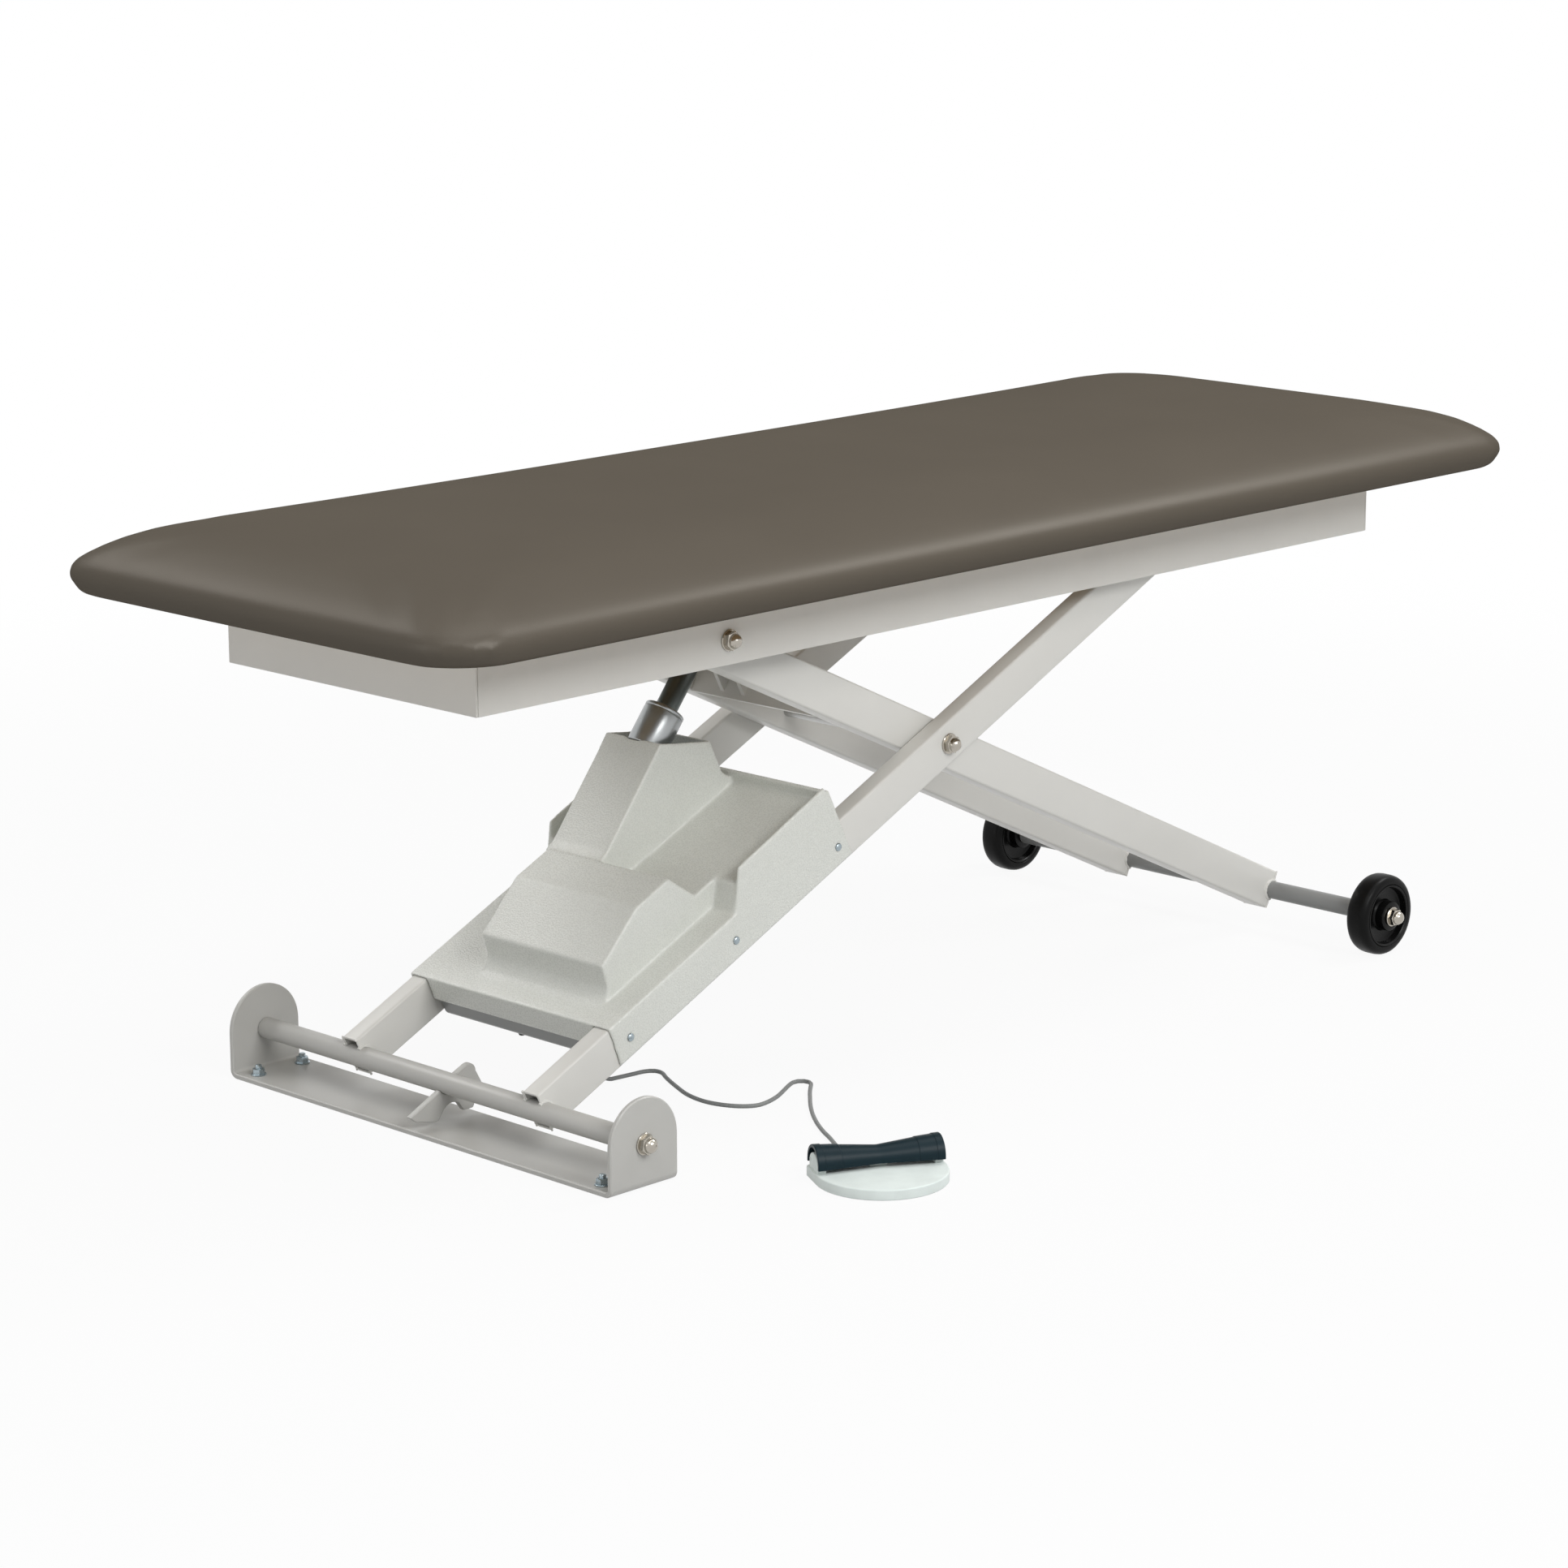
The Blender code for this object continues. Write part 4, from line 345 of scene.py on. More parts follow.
class Finish(Shading):
    """A material whose Principled shader is fed by expressions."""

    def __init__(self, name, **sockets):
        self.material = bpy.data.materials.new(name)
        self.material.use_nodes = True
        super().__init__(self.material.node_tree)
        self.shader = self.tree.nodes["Principled BSDF"]
        self.coords = self.node("ShaderNodeTexCoord", output="Object")
        self.feed(**sockets)

    def feed(self, **sockets):
        for name, value in sockets.items():
            self.put(self.shader.inputs[name.replace("_", " ")], value)
        return self.material

    def noise(self, scale, detail=2.0, roughness=0.5, coords=None):
        sockets = {"Scale": scale, "Detail": detail, "Roughness": roughness}
        sockets["Vector"] = coords or self.coords
        return self.node("ShaderNodeTexNoise", None, sockets, "Fac")

    def cells(self, scale):
        sockets = {"Vector": self.coords, "Scale": scale}
        return self.node("ShaderNodeTexVoronoi", {"feature": "F1"}, sockets, "Distance")

    def stretched(self, scale):
        return self.node("ShaderNodeVectorMath", {"operation": "MULTIPLY"}, {0: self.coords, 1: scale})

    def mix(self, share, first, second):
        return self.node("ShaderNodeMix", {"data_type": "RGBA"}, {0: share, 6: first, 7: second}, 2)

    def clouded(self, colour, cloud, darkest, lightest):
        """The colour, varied between two shades of it."""
        return self.mix(cloud, shade(colour, darkest), shade(colour, lightest))

    def bump(self, height, distance, strength):
        sockets = {"Height": height, "Distance": distance, "Strength": strength}
        return self.node("ShaderNodeBump", None, sockets)

    def body(self):
        return Signal(self, self.shader.outputs[0])


def shade(colour, factor):
    return tuple(channel * factor for channel in colour)


# Finishes
VINYL_SHEEN = 0.032
VINYL_SHEEN_COLOUR = (1.0, 0.95, 0.88)
EVEN_STREAK = (300, 300, 300)
GROUND_STREAK = (90, 90, 1200)
PLY_GRAIN = (6, 90, 90)
PLY_DARK = (0.38, 0.25, 0.13)
PLY_PALE = (0.62, 0.47, 0.29)
PAINT_COLOUR = (0.694, 0.688, 0.655)
# The base paint is the frame paint made darker: painted shade, a shaded copy of the same paint.
BASE_PAINT_PAINTED_SHADE = 0.68


def powder_coat(name, colour):
    """Satin powder coat: fine orange peel, slight cloudiness."""
    finish = Finish(name, Specular_IOR_Level=0.40)
    cloud = finish.noise(scale=14, detail=3)
    peel = finish.noise(scale=900)
    tone = finish.clouded(colour, cloud, darkest=0.965, lightest=1.03)
    relief = finish.bump(peel, distance=0.00012, strength=0.25)
    return finish.feed(Base_Color=tone, Roughness=0.30 + 0.12 * cloud, Normal=relief)


def cover_moulding(colour):
    """Pale thermoformed plastic with a raised grain that sparkles where light grazes it."""
    finish = Finish("cover_moulding", Specular_IOR_Level=0.50)
    grain = finish.cells(scale=480)
    fine = finish.noise(scale=1500)
    cloud = finish.noise(scale=9, detail=3)
    tone = finish.clouded(colour, cloud, darkest=0.97, lightest=1.03)
    relief = finish.bump(grain + 0.5 * fine, distance=0.0006, strength=0.55)
    return finish.feed(Base_Color=tone, Roughness=0.22 + 0.12 * grain, Normal=relief)


def upholstery_vinyl(colour):
    """Soft taupe vinyl: fine leather grain, a satin sheen and a little uneven gloss."""
    finish = Finish("upholstery_vinyl", Specular_IOR_Level=0.0)
    cloud = finish.noise(scale=5, detail=3)
    grain = finish.cells(scale=900)
    pores = finish.noise(scale=2400)
    tone = finish.clouded(colour, cloud, darkest=0.95, lightest=1.05)
    relief = finish.bump(grain + 0.4 * pores, distance=0.00022, strength=0.30)
    gloss = {"Color": VINYL_SHEEN_COLOUR, "Roughness": 0.38 + 0.10 * cloud, "Normal": relief}
    sheen = finish.node("ShaderNodeBsdfGlossy", None, gloss)
    layers = {0: VINYL_SHEEN, 1: finish.body(), 2: sheen}
    finish.surface(finish.node("ShaderNodeMixShader", None, layers))
    return finish.feed(Base_Color=tone, Roughness=0.55, Normal=relief)


def moulded_skin(name, colour, roughness, gloss):
    """Moulded plastic or rubber: dull skin with fine scuffs."""
    finish = Finish(name, Specular_IOR_Level=gloss)
    cloud = finish.noise(scale=40, detail=4)
    fine = finish.noise(scale=1400)
    tone = finish.clouded(colour, cloud, darkest=0.88, lightest=1.14)
    scuffed = roughness - 0.08 + 0.16 * cloud
    relief = finish.bump(fine, distance=0.00015, strength=0.3)
    return finish.feed(Base_Color=tone, Roughness=scuffed, Normal=relief)


def plated_metal(name, colour, roughness, streak=EVEN_STREAK):
    """Plated or ground metal with fine streaks along one direction."""
    finish = Finish(name, Metallic=1.0)
    cloud = finish.noise(scale=60, detail=3)
    lines = finish.noise(scale=1.0, detail=3, roughness=0.6, coords=finish.stretched(streak))
    tone = finish.clouded(colour, cloud, darkest=0.90, lightest=1.06)
    ground = roughness - 0.05 + 0.10 * lines
    relief = finish.bump(lines, distance=0.00005, strength=0.25)
    return finish.feed(Base_Color=tone, Roughness=ground, Normal=relief)


def plywood():
    """Pale ply with long grain and darker glue lines across its thickness."""
    finish = Finish("plywood")
    grain = finish.noise(scale=1.0, detail=5, roughness=0.6, coords=finish.stretched(PLY_GRAIN))
    waves = {"Vector": finish.coords, "Scale": 130.0, "Distortion": 0.6}
    plies = finish.node("ShaderNodeTexWave", {"bands_direction": "Z"}, waves, "Fac")
    tone = finish.mix(0.7 * grain + 0.3 * plies, PLY_DARK, PLY_PALE)
    relief = finish.bump(grain, distance=0.0002, strength=0.3)
    return finish.feed(Base_Color=tone, Roughness=0.62 + 0.15 * grain, Normal=relief)


FINISHES = {
    "frame_paint": powder_coat("frame_paint", PAINT_COLOUR),
    # The frame paint darkened as painted shade, for the base bracket.
    "base_paint": powder_coat("base_paint", shade(PAINT_COLOUR, BASE_PAINT_PAINTED_SHADE)),
    "mid_grey_paint": powder_coat("mid_grey_paint", (0.250, 0.255, 0.252)),
    "cover_plastic": cover_moulding((0.683, 0.697, 0.655)),
    "black_plastic": moulded_skin("black_plastic", (0.003, 0.003, 0.003), roughness=0.28, gloss=0.14),
    "wheel_rubber": moulded_skin("wheel_rubber", (0.004, 0.004, 0.004), roughness=0.36, gloss=0.10),
    "pad_vinyl": upholstery_vinyl((0.069, 0.058, 0.044)),
    "plywood": plywood(),
    "nickel": plated_metal("nickel", (0.44, 0.41, 0.36), roughness=0.18),
    "zinc": plated_metal("zinc", (0.36, 0.42, 0.45), roughness=0.28),
    "silver": plated_metal("silver", (0.40, 0.415, 0.42), roughness=0.30, streak=GROUND_STREAK),
    "dark_steel": plated_metal("dark_steel", (0.14, 0.155, 0.15), roughness=0.34, streak=GROUND_STREAK),
    "plain_steel": plated_metal("plain_steel", (0.50, 0.50, 0.49), roughness=0.36),
    "slate_plastic": moulded_skin("slate_plastic", (0.005, 0.016, 0.022), roughness=0.38, gloss=0.14),
    "pale_plastic": moulded_skin("pale_plastic", (0.660, 0.720, 0.698), roughness=0.45, gloss=0.40),
    "cord_grey": moulded_skin("cord_grey", (0.230, 0.238, 0.235), roughness=0.42, gloss=0.25),
}
SLOT_OF_NODE = {part["node"]: part["material_slot"] for part in frame["record"]["subparts"]}
BODIES = frame["record"]["behaviour"]["bodies"]
BODY_OF_NODE = {node: body for body, nodes in BODIES.items() for node in nodes}


def dress_cad_nodes():
    """Gives every CAD node its finish."""
    for node, obj in NODES.items():
        obj.data.materials.clear()
        obj.data.materials.append(FINISHES[SLOT_OF_NODE[node]])


def modify(obj, kind, **settings):
    modifier = obj.modifiers.new(kind.lower(), kind)
    for name, value in settings.items():
        setattr(modifier, name, value)
    return modifier


def ease_edges():
    """Eases the sharp edges of the CAD nodes that stay in view."""
    for node, width in EASED_EDGES.items():
        obj = NODES[node]
        modify(obj, "WELD", merge_threshold=WELD_GAP)
        modify(obj, "DECIMATE", decimate_type="DISSOLVE", angle_limit=FLAT_ANGLE)
        modify(obj, "BEVEL", width=width, segments=EDGE_SEGMENTS, limit_method="ANGLE",
               angle_limit=EDGE_ANGLE, harden_normals=True)


# Pieces
def new_mesh(name, bm, smooth_angle=SMOOTH_ANGLE):
    bmesh.ops.remove_doubles(bm, verts=bm.verts, dist=WELD_GAP)
    bmesh.ops.recalc_face_normals(bm, faces=bm.faces)
    mesh = bpy.data.meshes.new(name)
    bm.to_mesh(mesh)
    bm.free()
    mesh.shade_smooth()
    mesh.set_sharp_from_angle(angle=math.radians(smooth_angle))
    return mesh


def linked(name, mesh):
    obj = bpy.data.objects.new(name, mesh)
    bpy.context.scene.collection.objects.link(obj)
    return obj


def applied_mesh(obj):
    """The mesh of an object with its modifiers. The object is removed."""
    bpy.context.view_layer.update()
    depsgraph = bpy.context.evaluated_depsgraph_get()
    mesh = bpy.data.meshes.new_from_object(obj.evaluated_get(depsgraph))
    bpy.data.objects.remove(obj, do_unlink=True)
    return mesh


def add_trim(name, mesh, body, slot, place=LEVEL):
    """A piece that stands for no node."""
    mesh.transform(place)
    obj = linked(name, mesh)
    mesh.materials.clear()
    mesh.materials.append(FINISHES[slot])
    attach(obj, body)
    return obj


def add_piece(name, mesh, node, place=LEVEL):
    """A piece in the finish of the node that it replaces, on that node's body."""
    obj = add_trim(name, mesh, BODY_OF_NODE[node], SLOT_OF_NODE[node], place)
    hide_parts(node)
    return obj


def join_rings(bm, upper, lower):
    count = max(len(upper), len(lower))
    for index in range(count):
        after = (index + 1) % count
        if len(upper) == 1:
            bm.faces.new((upper[0], lower[index], lower[after]))
        elif len(lower) == 1:
            bm.faces.new((upper[index], lower[0], upper[after]))
        else:
            bm.faces.new((upper[index], lower[index], lower[after], upper[after]))


def stacked(outlines, capped=True):
    """A bmesh through closed outlines of points, with flat ends."""
    bm = bmesh.new()
    rings = [[bm.verts.new(point) for point in outline] for outline in outlines]
    for first, second in zip(rings, rings[1:]):
        join_rings(bm, first, second)
    if capped:
        bm.faces.new(rings[0])
        bm.faces.new(reversed(rings[-1]))
    return bm


def merged(pieces):
    """One bmesh from several."""
    whole = bmesh.new()
    for piece in pieces:
        mesh = bpy.data.meshes.new("piece")
        piece.to_mesh(mesh)
        piece.free()
        whole.from_mesh(mesh)
        bpy.data.meshes.remove(mesh)
    return whole


def rounded_rectangle(half_x, half_y, radius, steps):
    """Points of a rounded rectangle, anticlockwise."""
    points = []
    for corner, (x_sign, y_sign) in enumerate(((1, 1), (-1, 1), (-1, -1), (1, -1))):
        for step in range(steps + 1):
            angle = math.pi / 2 * (corner + step / steps)
            x = x_sign * (half_x - radius) + radius * math.cos(angle)
            y = y_sign * (half_y - radius) + radius * math.sin(angle)
            points.append((x, y))
    return points


def circle(radius, steps):
    """Points round a circle. A circle with no radius is one point."""
    angles = [2 * math.pi * step / steps for step in range(steps if radius else 1)]
    return [(radius * math.cos(angle), radius * math.sin(angle)) for angle in angles]


def half_circle(radius_x, radius_y, steps):
    angles = [math.pi * step / steps for step in range(steps + 1)]
    return [(radius_x * math.cos(angle), radius_y * math.sin(angle)) for angle in angles]


# Turned pieces
TURNS = {
    "X": Matrix.Rotation(math.pi / 2, 4, "Y"),
    "Y": Matrix.Rotation(-math.pi / 2, 4, "X"),
    "Z": LEVEL,
}


def turned(profile, steps=ROUND_STEPS, axis="Z"):
    """A bmesh turned from a (radius, height) profile, listed from the top down the outside."""
    bm = bmesh.new()
    rings = []
    for radius, height in profile:
        rings.append([bm.verts.new((x, y, height)) for x, y in circle(radius, steps)])
    for upper, lower in zip(rings, rings[1:]):
        join_rings(bm, upper, lower)
    bm.transform(TURNS[axis])
    return bm


def eased(profile, width):
    """The profile with each corner cut back, by at most a third of each side."""
    points = [Vector(point) for point in profile]
    result = [points[0]]
    for before, corner, after in zip(points, points[1:], points[2:]):
        for other in (before, after):
            side = other - corner
            result.append(corner + side * min(width / side.length, 1 / 3))
    return result + [points[-1]]


def mirrored(half):
    """A profile whose lower half is its upper half upside down."""
    return [*half, *((radius, -height) for radius, height in reversed(half))]


def ring_profile(half):
    """The closed profile of a piece with a hole through it."""
    return [*mirrored(half), half[0]]


def plain_bar(radius, reach):
    return mirrored([(0, reach), (radius, reach)])


def wheel_axle(radius, reach):
    shoulder = reach - STUB_LENGTH
    return mirrored([(0, reach), (STUB_RADIUS, reach), (STUB_RADIUS, shoulder), (radius, shoulder)])


def roller_axle(radius, reach):
    seat = reach - ROLLER_SPAN
    root = seat - ROLLER_COLLAR_LENGTH
    return mirrored([(0, reach), (ROLLER_AXLE_RADIUS, reach), (ROLLER_AXLE_RADIUS, seat), (radius, seat),
                     (radius, root), (ROLLER_AXLE_RADIUS, root)])


def roller(radius, reach):
    edge = 2 * BAR_CHAMFER
    dish = (radius + ROLLER_BORE) / 2
    half = [(ROLLER_BORE, reach), (dish - ROLLER_GROOVE, reach), (dish, reach - ROLLER_GROOVE),
            (dish + ROLLER_GROOVE, reach), (radius - edge, reach), (radius, reach - edge)]
    return ring_profile(half)


def actuator_tube(radius, reach):
    root = reach - COLLAR_LENGTH
    lip = reach - COLLAR_LIP
    groove = lip - COLLAR_GROOVE
    waist = radius - COLLAR_GROOVE
    collar = [(ACTUATOR_BORE, reach), (radius, reach), (radius, lip), (waist, lip), (waist, groove),
              (radius, groove), (radius, root)]
    barrel = [(ACTUATOR_RADIUS, root), (ACTUATOR_RADIUS, -reach), (ACTUATOR_BORE, -reach)]
    return [*collar, *barrel, collar[0]]


def actuator_motor(radius, reach):
    cap = MOTOR_CAP_LENGTH - reach
    return [(0, reach), (radius, reach), (radius, cap), (radius - MOTOR_CAP_STEP, cap),
            (radius - MOTOR_CAP_STEP, -reach), (0, -reach)]


def make_round_nodes():
    for node, profile, place, axis in (
            ("base_shaft", plain_bar, OUTER, "Y"), ("top_shaft", plain_bar, INNER, "Y"),
            ("actuator_rear_pin", plain_bar, OUTER, "Y"), ("actuator_rod", plain_bar, ACTUATOR, "X"),
            ("wheel_axle", wheel_axle, INNER, "Y"), ("roller_axle", roller_axle, OUTER, "Y"),
            ("roller_near", roller, OUTER, "Y"), ("roller_far", roller, OUTER, "Y"),
            ("actuator_tube", actuator_tube, ACTUATOR, "X"),
            ("actuator_motor", actuator_motor, ACTUATOR, "Y")):
        low, high = local_box(node, place)
        half = (high - low) / 2
        reach = half["XYZ".index(axis)]
        outline = eased(eased(profile(half.z, reach), BAR_CHAMFER), BAR_CHAMFER / 3)
        spot = place @ Matrix.Translation((low + high) / 2)
        add_piece(node + "_turned", new_mesh(node, turned(outline, axis=axis)), node, spot)


# Base bracket: a flat blank with round ends and eased edges, bent up into two ears
def make_base_bracket():
    high = local_box("base_bracket", LEVEL)[1]
    flat = high.y - BASE_BEND
    bent = flat + BASE_BEND * math.pi / 2
    reach = bent + high.z - BASE_BEND
    outlines = []
    edge = ((BASE_EDGE, 0.0), (0.0, BASE_EDGE), (0.0, BASE_PLATE - BASE_EDGE), (BASE_EDGE, BASE_PLATE))
    for inset, depth in edge:
        half = high.x - inset
        blank = rounded_rectangle(reach - inset, half, half, EAR_STEPS)
        outlines.append([(along, across, depth) for along, across in blank])
    bm = stacked(outlines)
    for step in range(BEND_STEPS + 1):
        for sign in (-1, 1):
            cut = sign * (flat + (bent - flat) * step / BEND_STEPS)
            geometry = bm.verts[:] + bm.edges[:] + bm.faces[:]
            bmesh.ops.bisect_plane(bm, geom=geometry, plane_co=(cut, 0, 0), plane_no=(1, 0, 0))
    for vert in bm.verts:
        along, across, depth = vert.co
        turn = min(max(abs(along) - flat, 0.0), bent - flat) / BASE_BEND
        rise = max(abs(along) - bent, 0.0)
        radius = BASE_BEND - depth
        out = min(abs(along), flat) + radius * math.sin(turn)
        vert.co = (across, math.copysign(out, along), BASE_BEND - radius * math.cos(turn) + rise)
    add_piece("base_bracket_plate", new_mesh("base_bracket", bm), "base_bracket")


# Arms: rectangular tube with rounded corners and open ends
def make_arms():
    for kind, place in (("outer_arm_", OUTER), ("inner_arm_", INNER)):
        for side in ("near", "far"):
            make_arm(kind + side, place)


def make_arm(node, place):
    low, high = local_box(node, place)
    centre = (low + high) / 2
    half = (high - low) / 2
    outer = rounded_rectangle(half.y, half.z, TUBE_CORNER, CORNER_STEPS)
    inner = rounded_rectangle(half.y - TUBE_WALL, half.z - TUBE_WALL, TUBE_INNER_CORNER, CORNER_STEPS)
    ends = ((low.x, inner), (low.x, outer), (high.x, outer), (high.x, inner), (low.x, inner))
    outlines = [[(x, centre.y + y, centre.z + z) for y, z in outline] for x, outline in ends]
    add_piece(node + "_tube", new_mesh(node, stacked(outlines, capped=False)), node, place)


# Sweeps
def swept_tube(points, radius, sides, lumps=0.0):
    """A bmesh tube along points, with flat ends. Lumps make it uneven, as a weld bead is."""
    side = None
    outlines = []
    last = len(points) - 1
    for index, point in enumerate(points):
        along = (points[min(index + 1, last)] - points[max(index - 1, 0)]).normalized()
        if side is None:
            side = along.orthogonal().normalized()
        side = (side - along * side.dot(along)).normalized()
        across = along.cross(side)
        swell = radius * (1 + lumps * noise.noise(point * LUMP_SCALE))
        outlines.append([point + swell * (x * side + y * across) for x, y in circle(1.0, sides)])
    return stacked(outlines)


# Weld beads where the arms meet their shafts
def weld_ring(centre, y, radius, arc):
    start, stop = arc
    ring = []
    for step in range(WELD_STEPS + 1):
        angle = math.radians(start + (stop - start) * step / WELD_STEPS)
        outward = Vector((math.cos(angle), 0, math.sin(angle)))
        ring.append(Vector((centre.x, y, centre.z)) + (radius + WELD_RADIUS / WELD_SINK) * outward)
    return swept_tube(ring, WELD_RADIUS, WELD_SIDES, WELD_LUMPS)


def weld_line(x, y, first, last):
    heights = [first + (last - first) * step / WELD_SIDES for step in range(WELD_SIDES + 1)]
    line = [Vector((x, y, height)) for height in heights]
    return swept_tube(line, WELD_THIN * WELD_RADIUS, WELD_SIDES, WELD_LUMPS)


def make_weld_beads():
    for shaft, body, arm, place, end in (
            ("base_shaft", "outer_arms", "outer_arm_", OUTER, "low"),
            ("wheel_axle", "inner_arms", "inner_arm_", INNER, "low"),
            ("top_shaft", "inner_arms", "inner_arm_", INNER, "high")):
        shaft_low, shaft_high = local_box(shaft, place)
        centre = (shaft_low + shaft_high) / 2
        radius = (shaft_high.z - shaft_low.z) / 2
        beads = []
        for side in ("near", "far"):
            low, high = local_box(arm + side, place)
            edge = low.x if end == "low" else high.x
            for y in (low.y, high.y):
                beads.append(weld_ring(centre, y, radius, WELD_ARCS[end]))
                beads.append(weld_line(edge, y, low.z, centre.z - radius))
                beads.append(weld_line(edge, y, centre.z + radius, high.z))
        add_trim(shaft + "_welds", new_mesh(shaft, merged(beads)), body, "frame_paint", place)


# Fasteners: hexagon, dome and washer, standing along +Z from a seat at height 0
def hexagon(across_flats, low, high):
    radius = across_flats * HEX_SHARE
    rim = radius - 2 * NUT_CHAMFER
    profile = [(0, high), (rim, high), (radius, high - NUT_CHAMFER), (radius, low), (0, low)]
    return turned(profile, HEX_SIDES)


def dome(radius, low, high):
    angles = [math.pi / 2 * step / DOME_STEPS for step in range(DOME_STEPS + 1)]
    return [(radius * math.sin(angle), low + (high - low) * math.cos(angle)) for angle in angles]


def disc(radius, thickness):
    return turned(eased([(0, thickness), (radius, thickness), (radius, 0), (0, 0)], thickness / 4))


def domed_nut(height, washer_radius):
    """An acorn nut on its washer, as tall as the node that it stands for."""
    washer = NUT_WASHER_SHARE * height
    shoulder = NUT_SHOULDER_SHARE * height
    flats = NUT_FLATS_SHARE * washer_radius
    cap = dome(NUT_DOME_SHARE * flats, shoulder, height)
    return merged([disc(washer_radius, washer), hexagon(flats, washer, shoulder), turned(cap)])


def facing(outward):
    """Turns +Z to the near or the far side."""
    return Matrix.Rotation(-outward * math.pi / 2, 4, "X")


def make_domed_nuts():
    for name, place, sign in (("base_pivot_bolt_", LEVEL, 1), ("top_pivot_bolt_", LEVEL, 1),
                              ("cross_pivot_nut_", OUTER, 1), ("wheel_axle_nut_", INNER, -1)):
        for side, outward in (("near", -sign), ("far", sign)):
            node = name + side
            low, high = local_box(node, place)
            centre = (low + high) / 2
            tip = high.y if outward > 0 else low.y
            spot = Matrix.Translation((centre.x, tip - outward * NUT_STACK, centre.z)) @ facing(outward)
            mesh = new_mesh(node, domed_nut(NUT_STACK, (high.z - low.z) / 2))
            add_piece(node + "_nut", mesh, node, place @ spot @ Matrix.Rotation(NUT_TURN, 4, "Z"))


def make_studs():
    for number in STUD_NUMBERS:
        node = "base_stud_" + str(number)
        low, high = local_box(node, LEVEL)
        centre = (low + high) / 2
        radius = (high.x - low.x) / 2
        tip = high.z - BASE_PLATE
        shank = STUD_SHARE * radius
        stud = turned(eased([(0, tip), (shank, tip), (shank, 0), (0, 0)], NUT_CHAMFER))
        nut = hexagon(STUD_FLATS_SHARE * radius, STUD_WASHER, STUD_NUT_TOP)
        mesh = new_mesh(node, merged([disc(radius, STUD_WASHER), nut, stud]))
        spot = Matrix.Translation((centre.x, centre.y, BASE_PLATE))
        add_piece(node + "_nut", mesh, node, spot @ Matrix.Rotation(STUD_TURN * number, 4, "Z"))


def make_cover_screws():
    for number in SCREW_NUMBERS:
        for side, outward in (("near", -1), ("far", 1)):
            node = "cover_screw_" + str(number) + "_" + side
            low, high = local_box(node, OUTER)
            centre = (low + high) / 2
            tip = high.y if outward > 0 else low.y
            head = dome((high.z - low.z) / 2, -SCREW_HEAD, 0) + [(0, -SCREW_HEAD)]
            spot = Matrix.Translation((centre.x, tip, centre.z)) @ facing(outward)
            add_piece(node + "_head", new_mesh(node, turned(head)), node, OUTER @ spot)


# Wheels
def make_wheels():
    for side, outward in (("near", -1), ("far", 1)):
        for kind, half in (("tyre", TYRE_HALF), ("hub", HUB_HALF)):
            node = "wheel_" + kind + "_" + side
            low, high = local_box(node, LEVEL)
            spot = Matrix.Translation((low + high) / 2) @ facing(outward)
            mesh = new_mesh(node, turned(ring_profile(half), WHEEL_STEPS), WHEEL_SMOOTH_ANGLE)
            add_piece(node + "_turned", mesh, node, spot)


# Moulded cover: the CAD shell with its edges run round
def make_cover():
    source = NODES["drive_cover"].data.copy()
    source.transform(OUTER.inverted())
    shell = linked("cover_shell", source)
    modify(shell, "WELD", merge_threshold=WELD_GAP)
    modify(shell, "REMESH", mode="VOXEL", voxel_size=COVER_VOXEL)
    shell = linked("cover_shell", applied_mesh(shell))
    group = shell.vertex_groups.new(name="moulded")
    heights = [vertex.co.z for vertex in shell.data.vertices]
    bottom = min(heights)
    top = max(heights)
    for index, height in enumerate(heights):
        skirt = COVER_SKIRT_HOLD + ((height - bottom) / COVER_SKIRT_BAND) ** 2
        rim = COVER_TOP_HOLD + ((top - height) / COVER_TOP_BAND) ** 2
        group.add([index], min(1.0, skirt) * min(1.0, rim), "REPLACE")
    modify(shell, "SMOOTH", factor=COVER_SMOOTH_FACTOR, iterations=COVER_SMOOTHING, vertex_group="moulded")
    modify(shell, "DECIMATE", ratio=COVER_KEEP)
    mesh = applied_mesh(shell)
    mesh.shade_smooth()
    add_piece("drive_cover_moulding", mesh, "drive_cover", OUTER)


# Pad: a crowned cushion, blown up a little as a stuffed cover is
def pad_levels():
    crown = PAD_HIGH.z - PAD_LOW.z - PAD_EDGE_HEIGHT
    levels = [(PAD_UNDERCUT + PAD_HEM_WIDTH, 0.0), (PAD_UNDERCUT + PAD_HEM_INSET, 0.0)]
    for step in range(PAD_EDGE_RINGS + 1):
        share = step / PAD_EDGE_RINGS
        height = PAD_HEM_LIFT + (PAD_EDGE_HEIGHT - PAD_HEM_LIFT) * share
        levels.append((PAD_UNDERCUT * (1 - math.sin(share * math.pi / 2)), height))
    for ring in range(1, PAD_CROWN_RINGS + 1):
        share = 1 - math.cos(ring / PAD_CROWN_RINGS * math.pi / 2)
        rise = (1 - (1 - share) ** PAD_CROWN_POWER) ** (1 / PAD_CROWN_POWER)
        levels.append((PAD_CROWN_REACH * share, PAD_EDGE_HEIGHT + crown * rise))
    return levels


def pad_loft(shrink):
    half = (PAD_HIGH - PAD_LOW) / 2
    centre = (PAD_HIGH + PAD_LOW) / 2
    outlines = []
    for pull_in, height in pad_levels():
        widest = PAD_CORNER_LIMIT * (half.y - pull_in)
        radius = min(PAD_CORNER_RADIUS + pull_in * PAD_CORNER_GROWTH, widest)
        inset = pull_in + shrink
        level = PAD_LOW.z + height * (1 - shrink / (PAD_HIGH.z - PAD_LOW.z))
        outline = rounded_rectangle(half.x - inset, half.y - inset, radius, PAD_CORNER_STEPS)
        outlines.append([(centre.x + x, centre.y + y, level) for x, y in outline])
    return stacked(outlines)


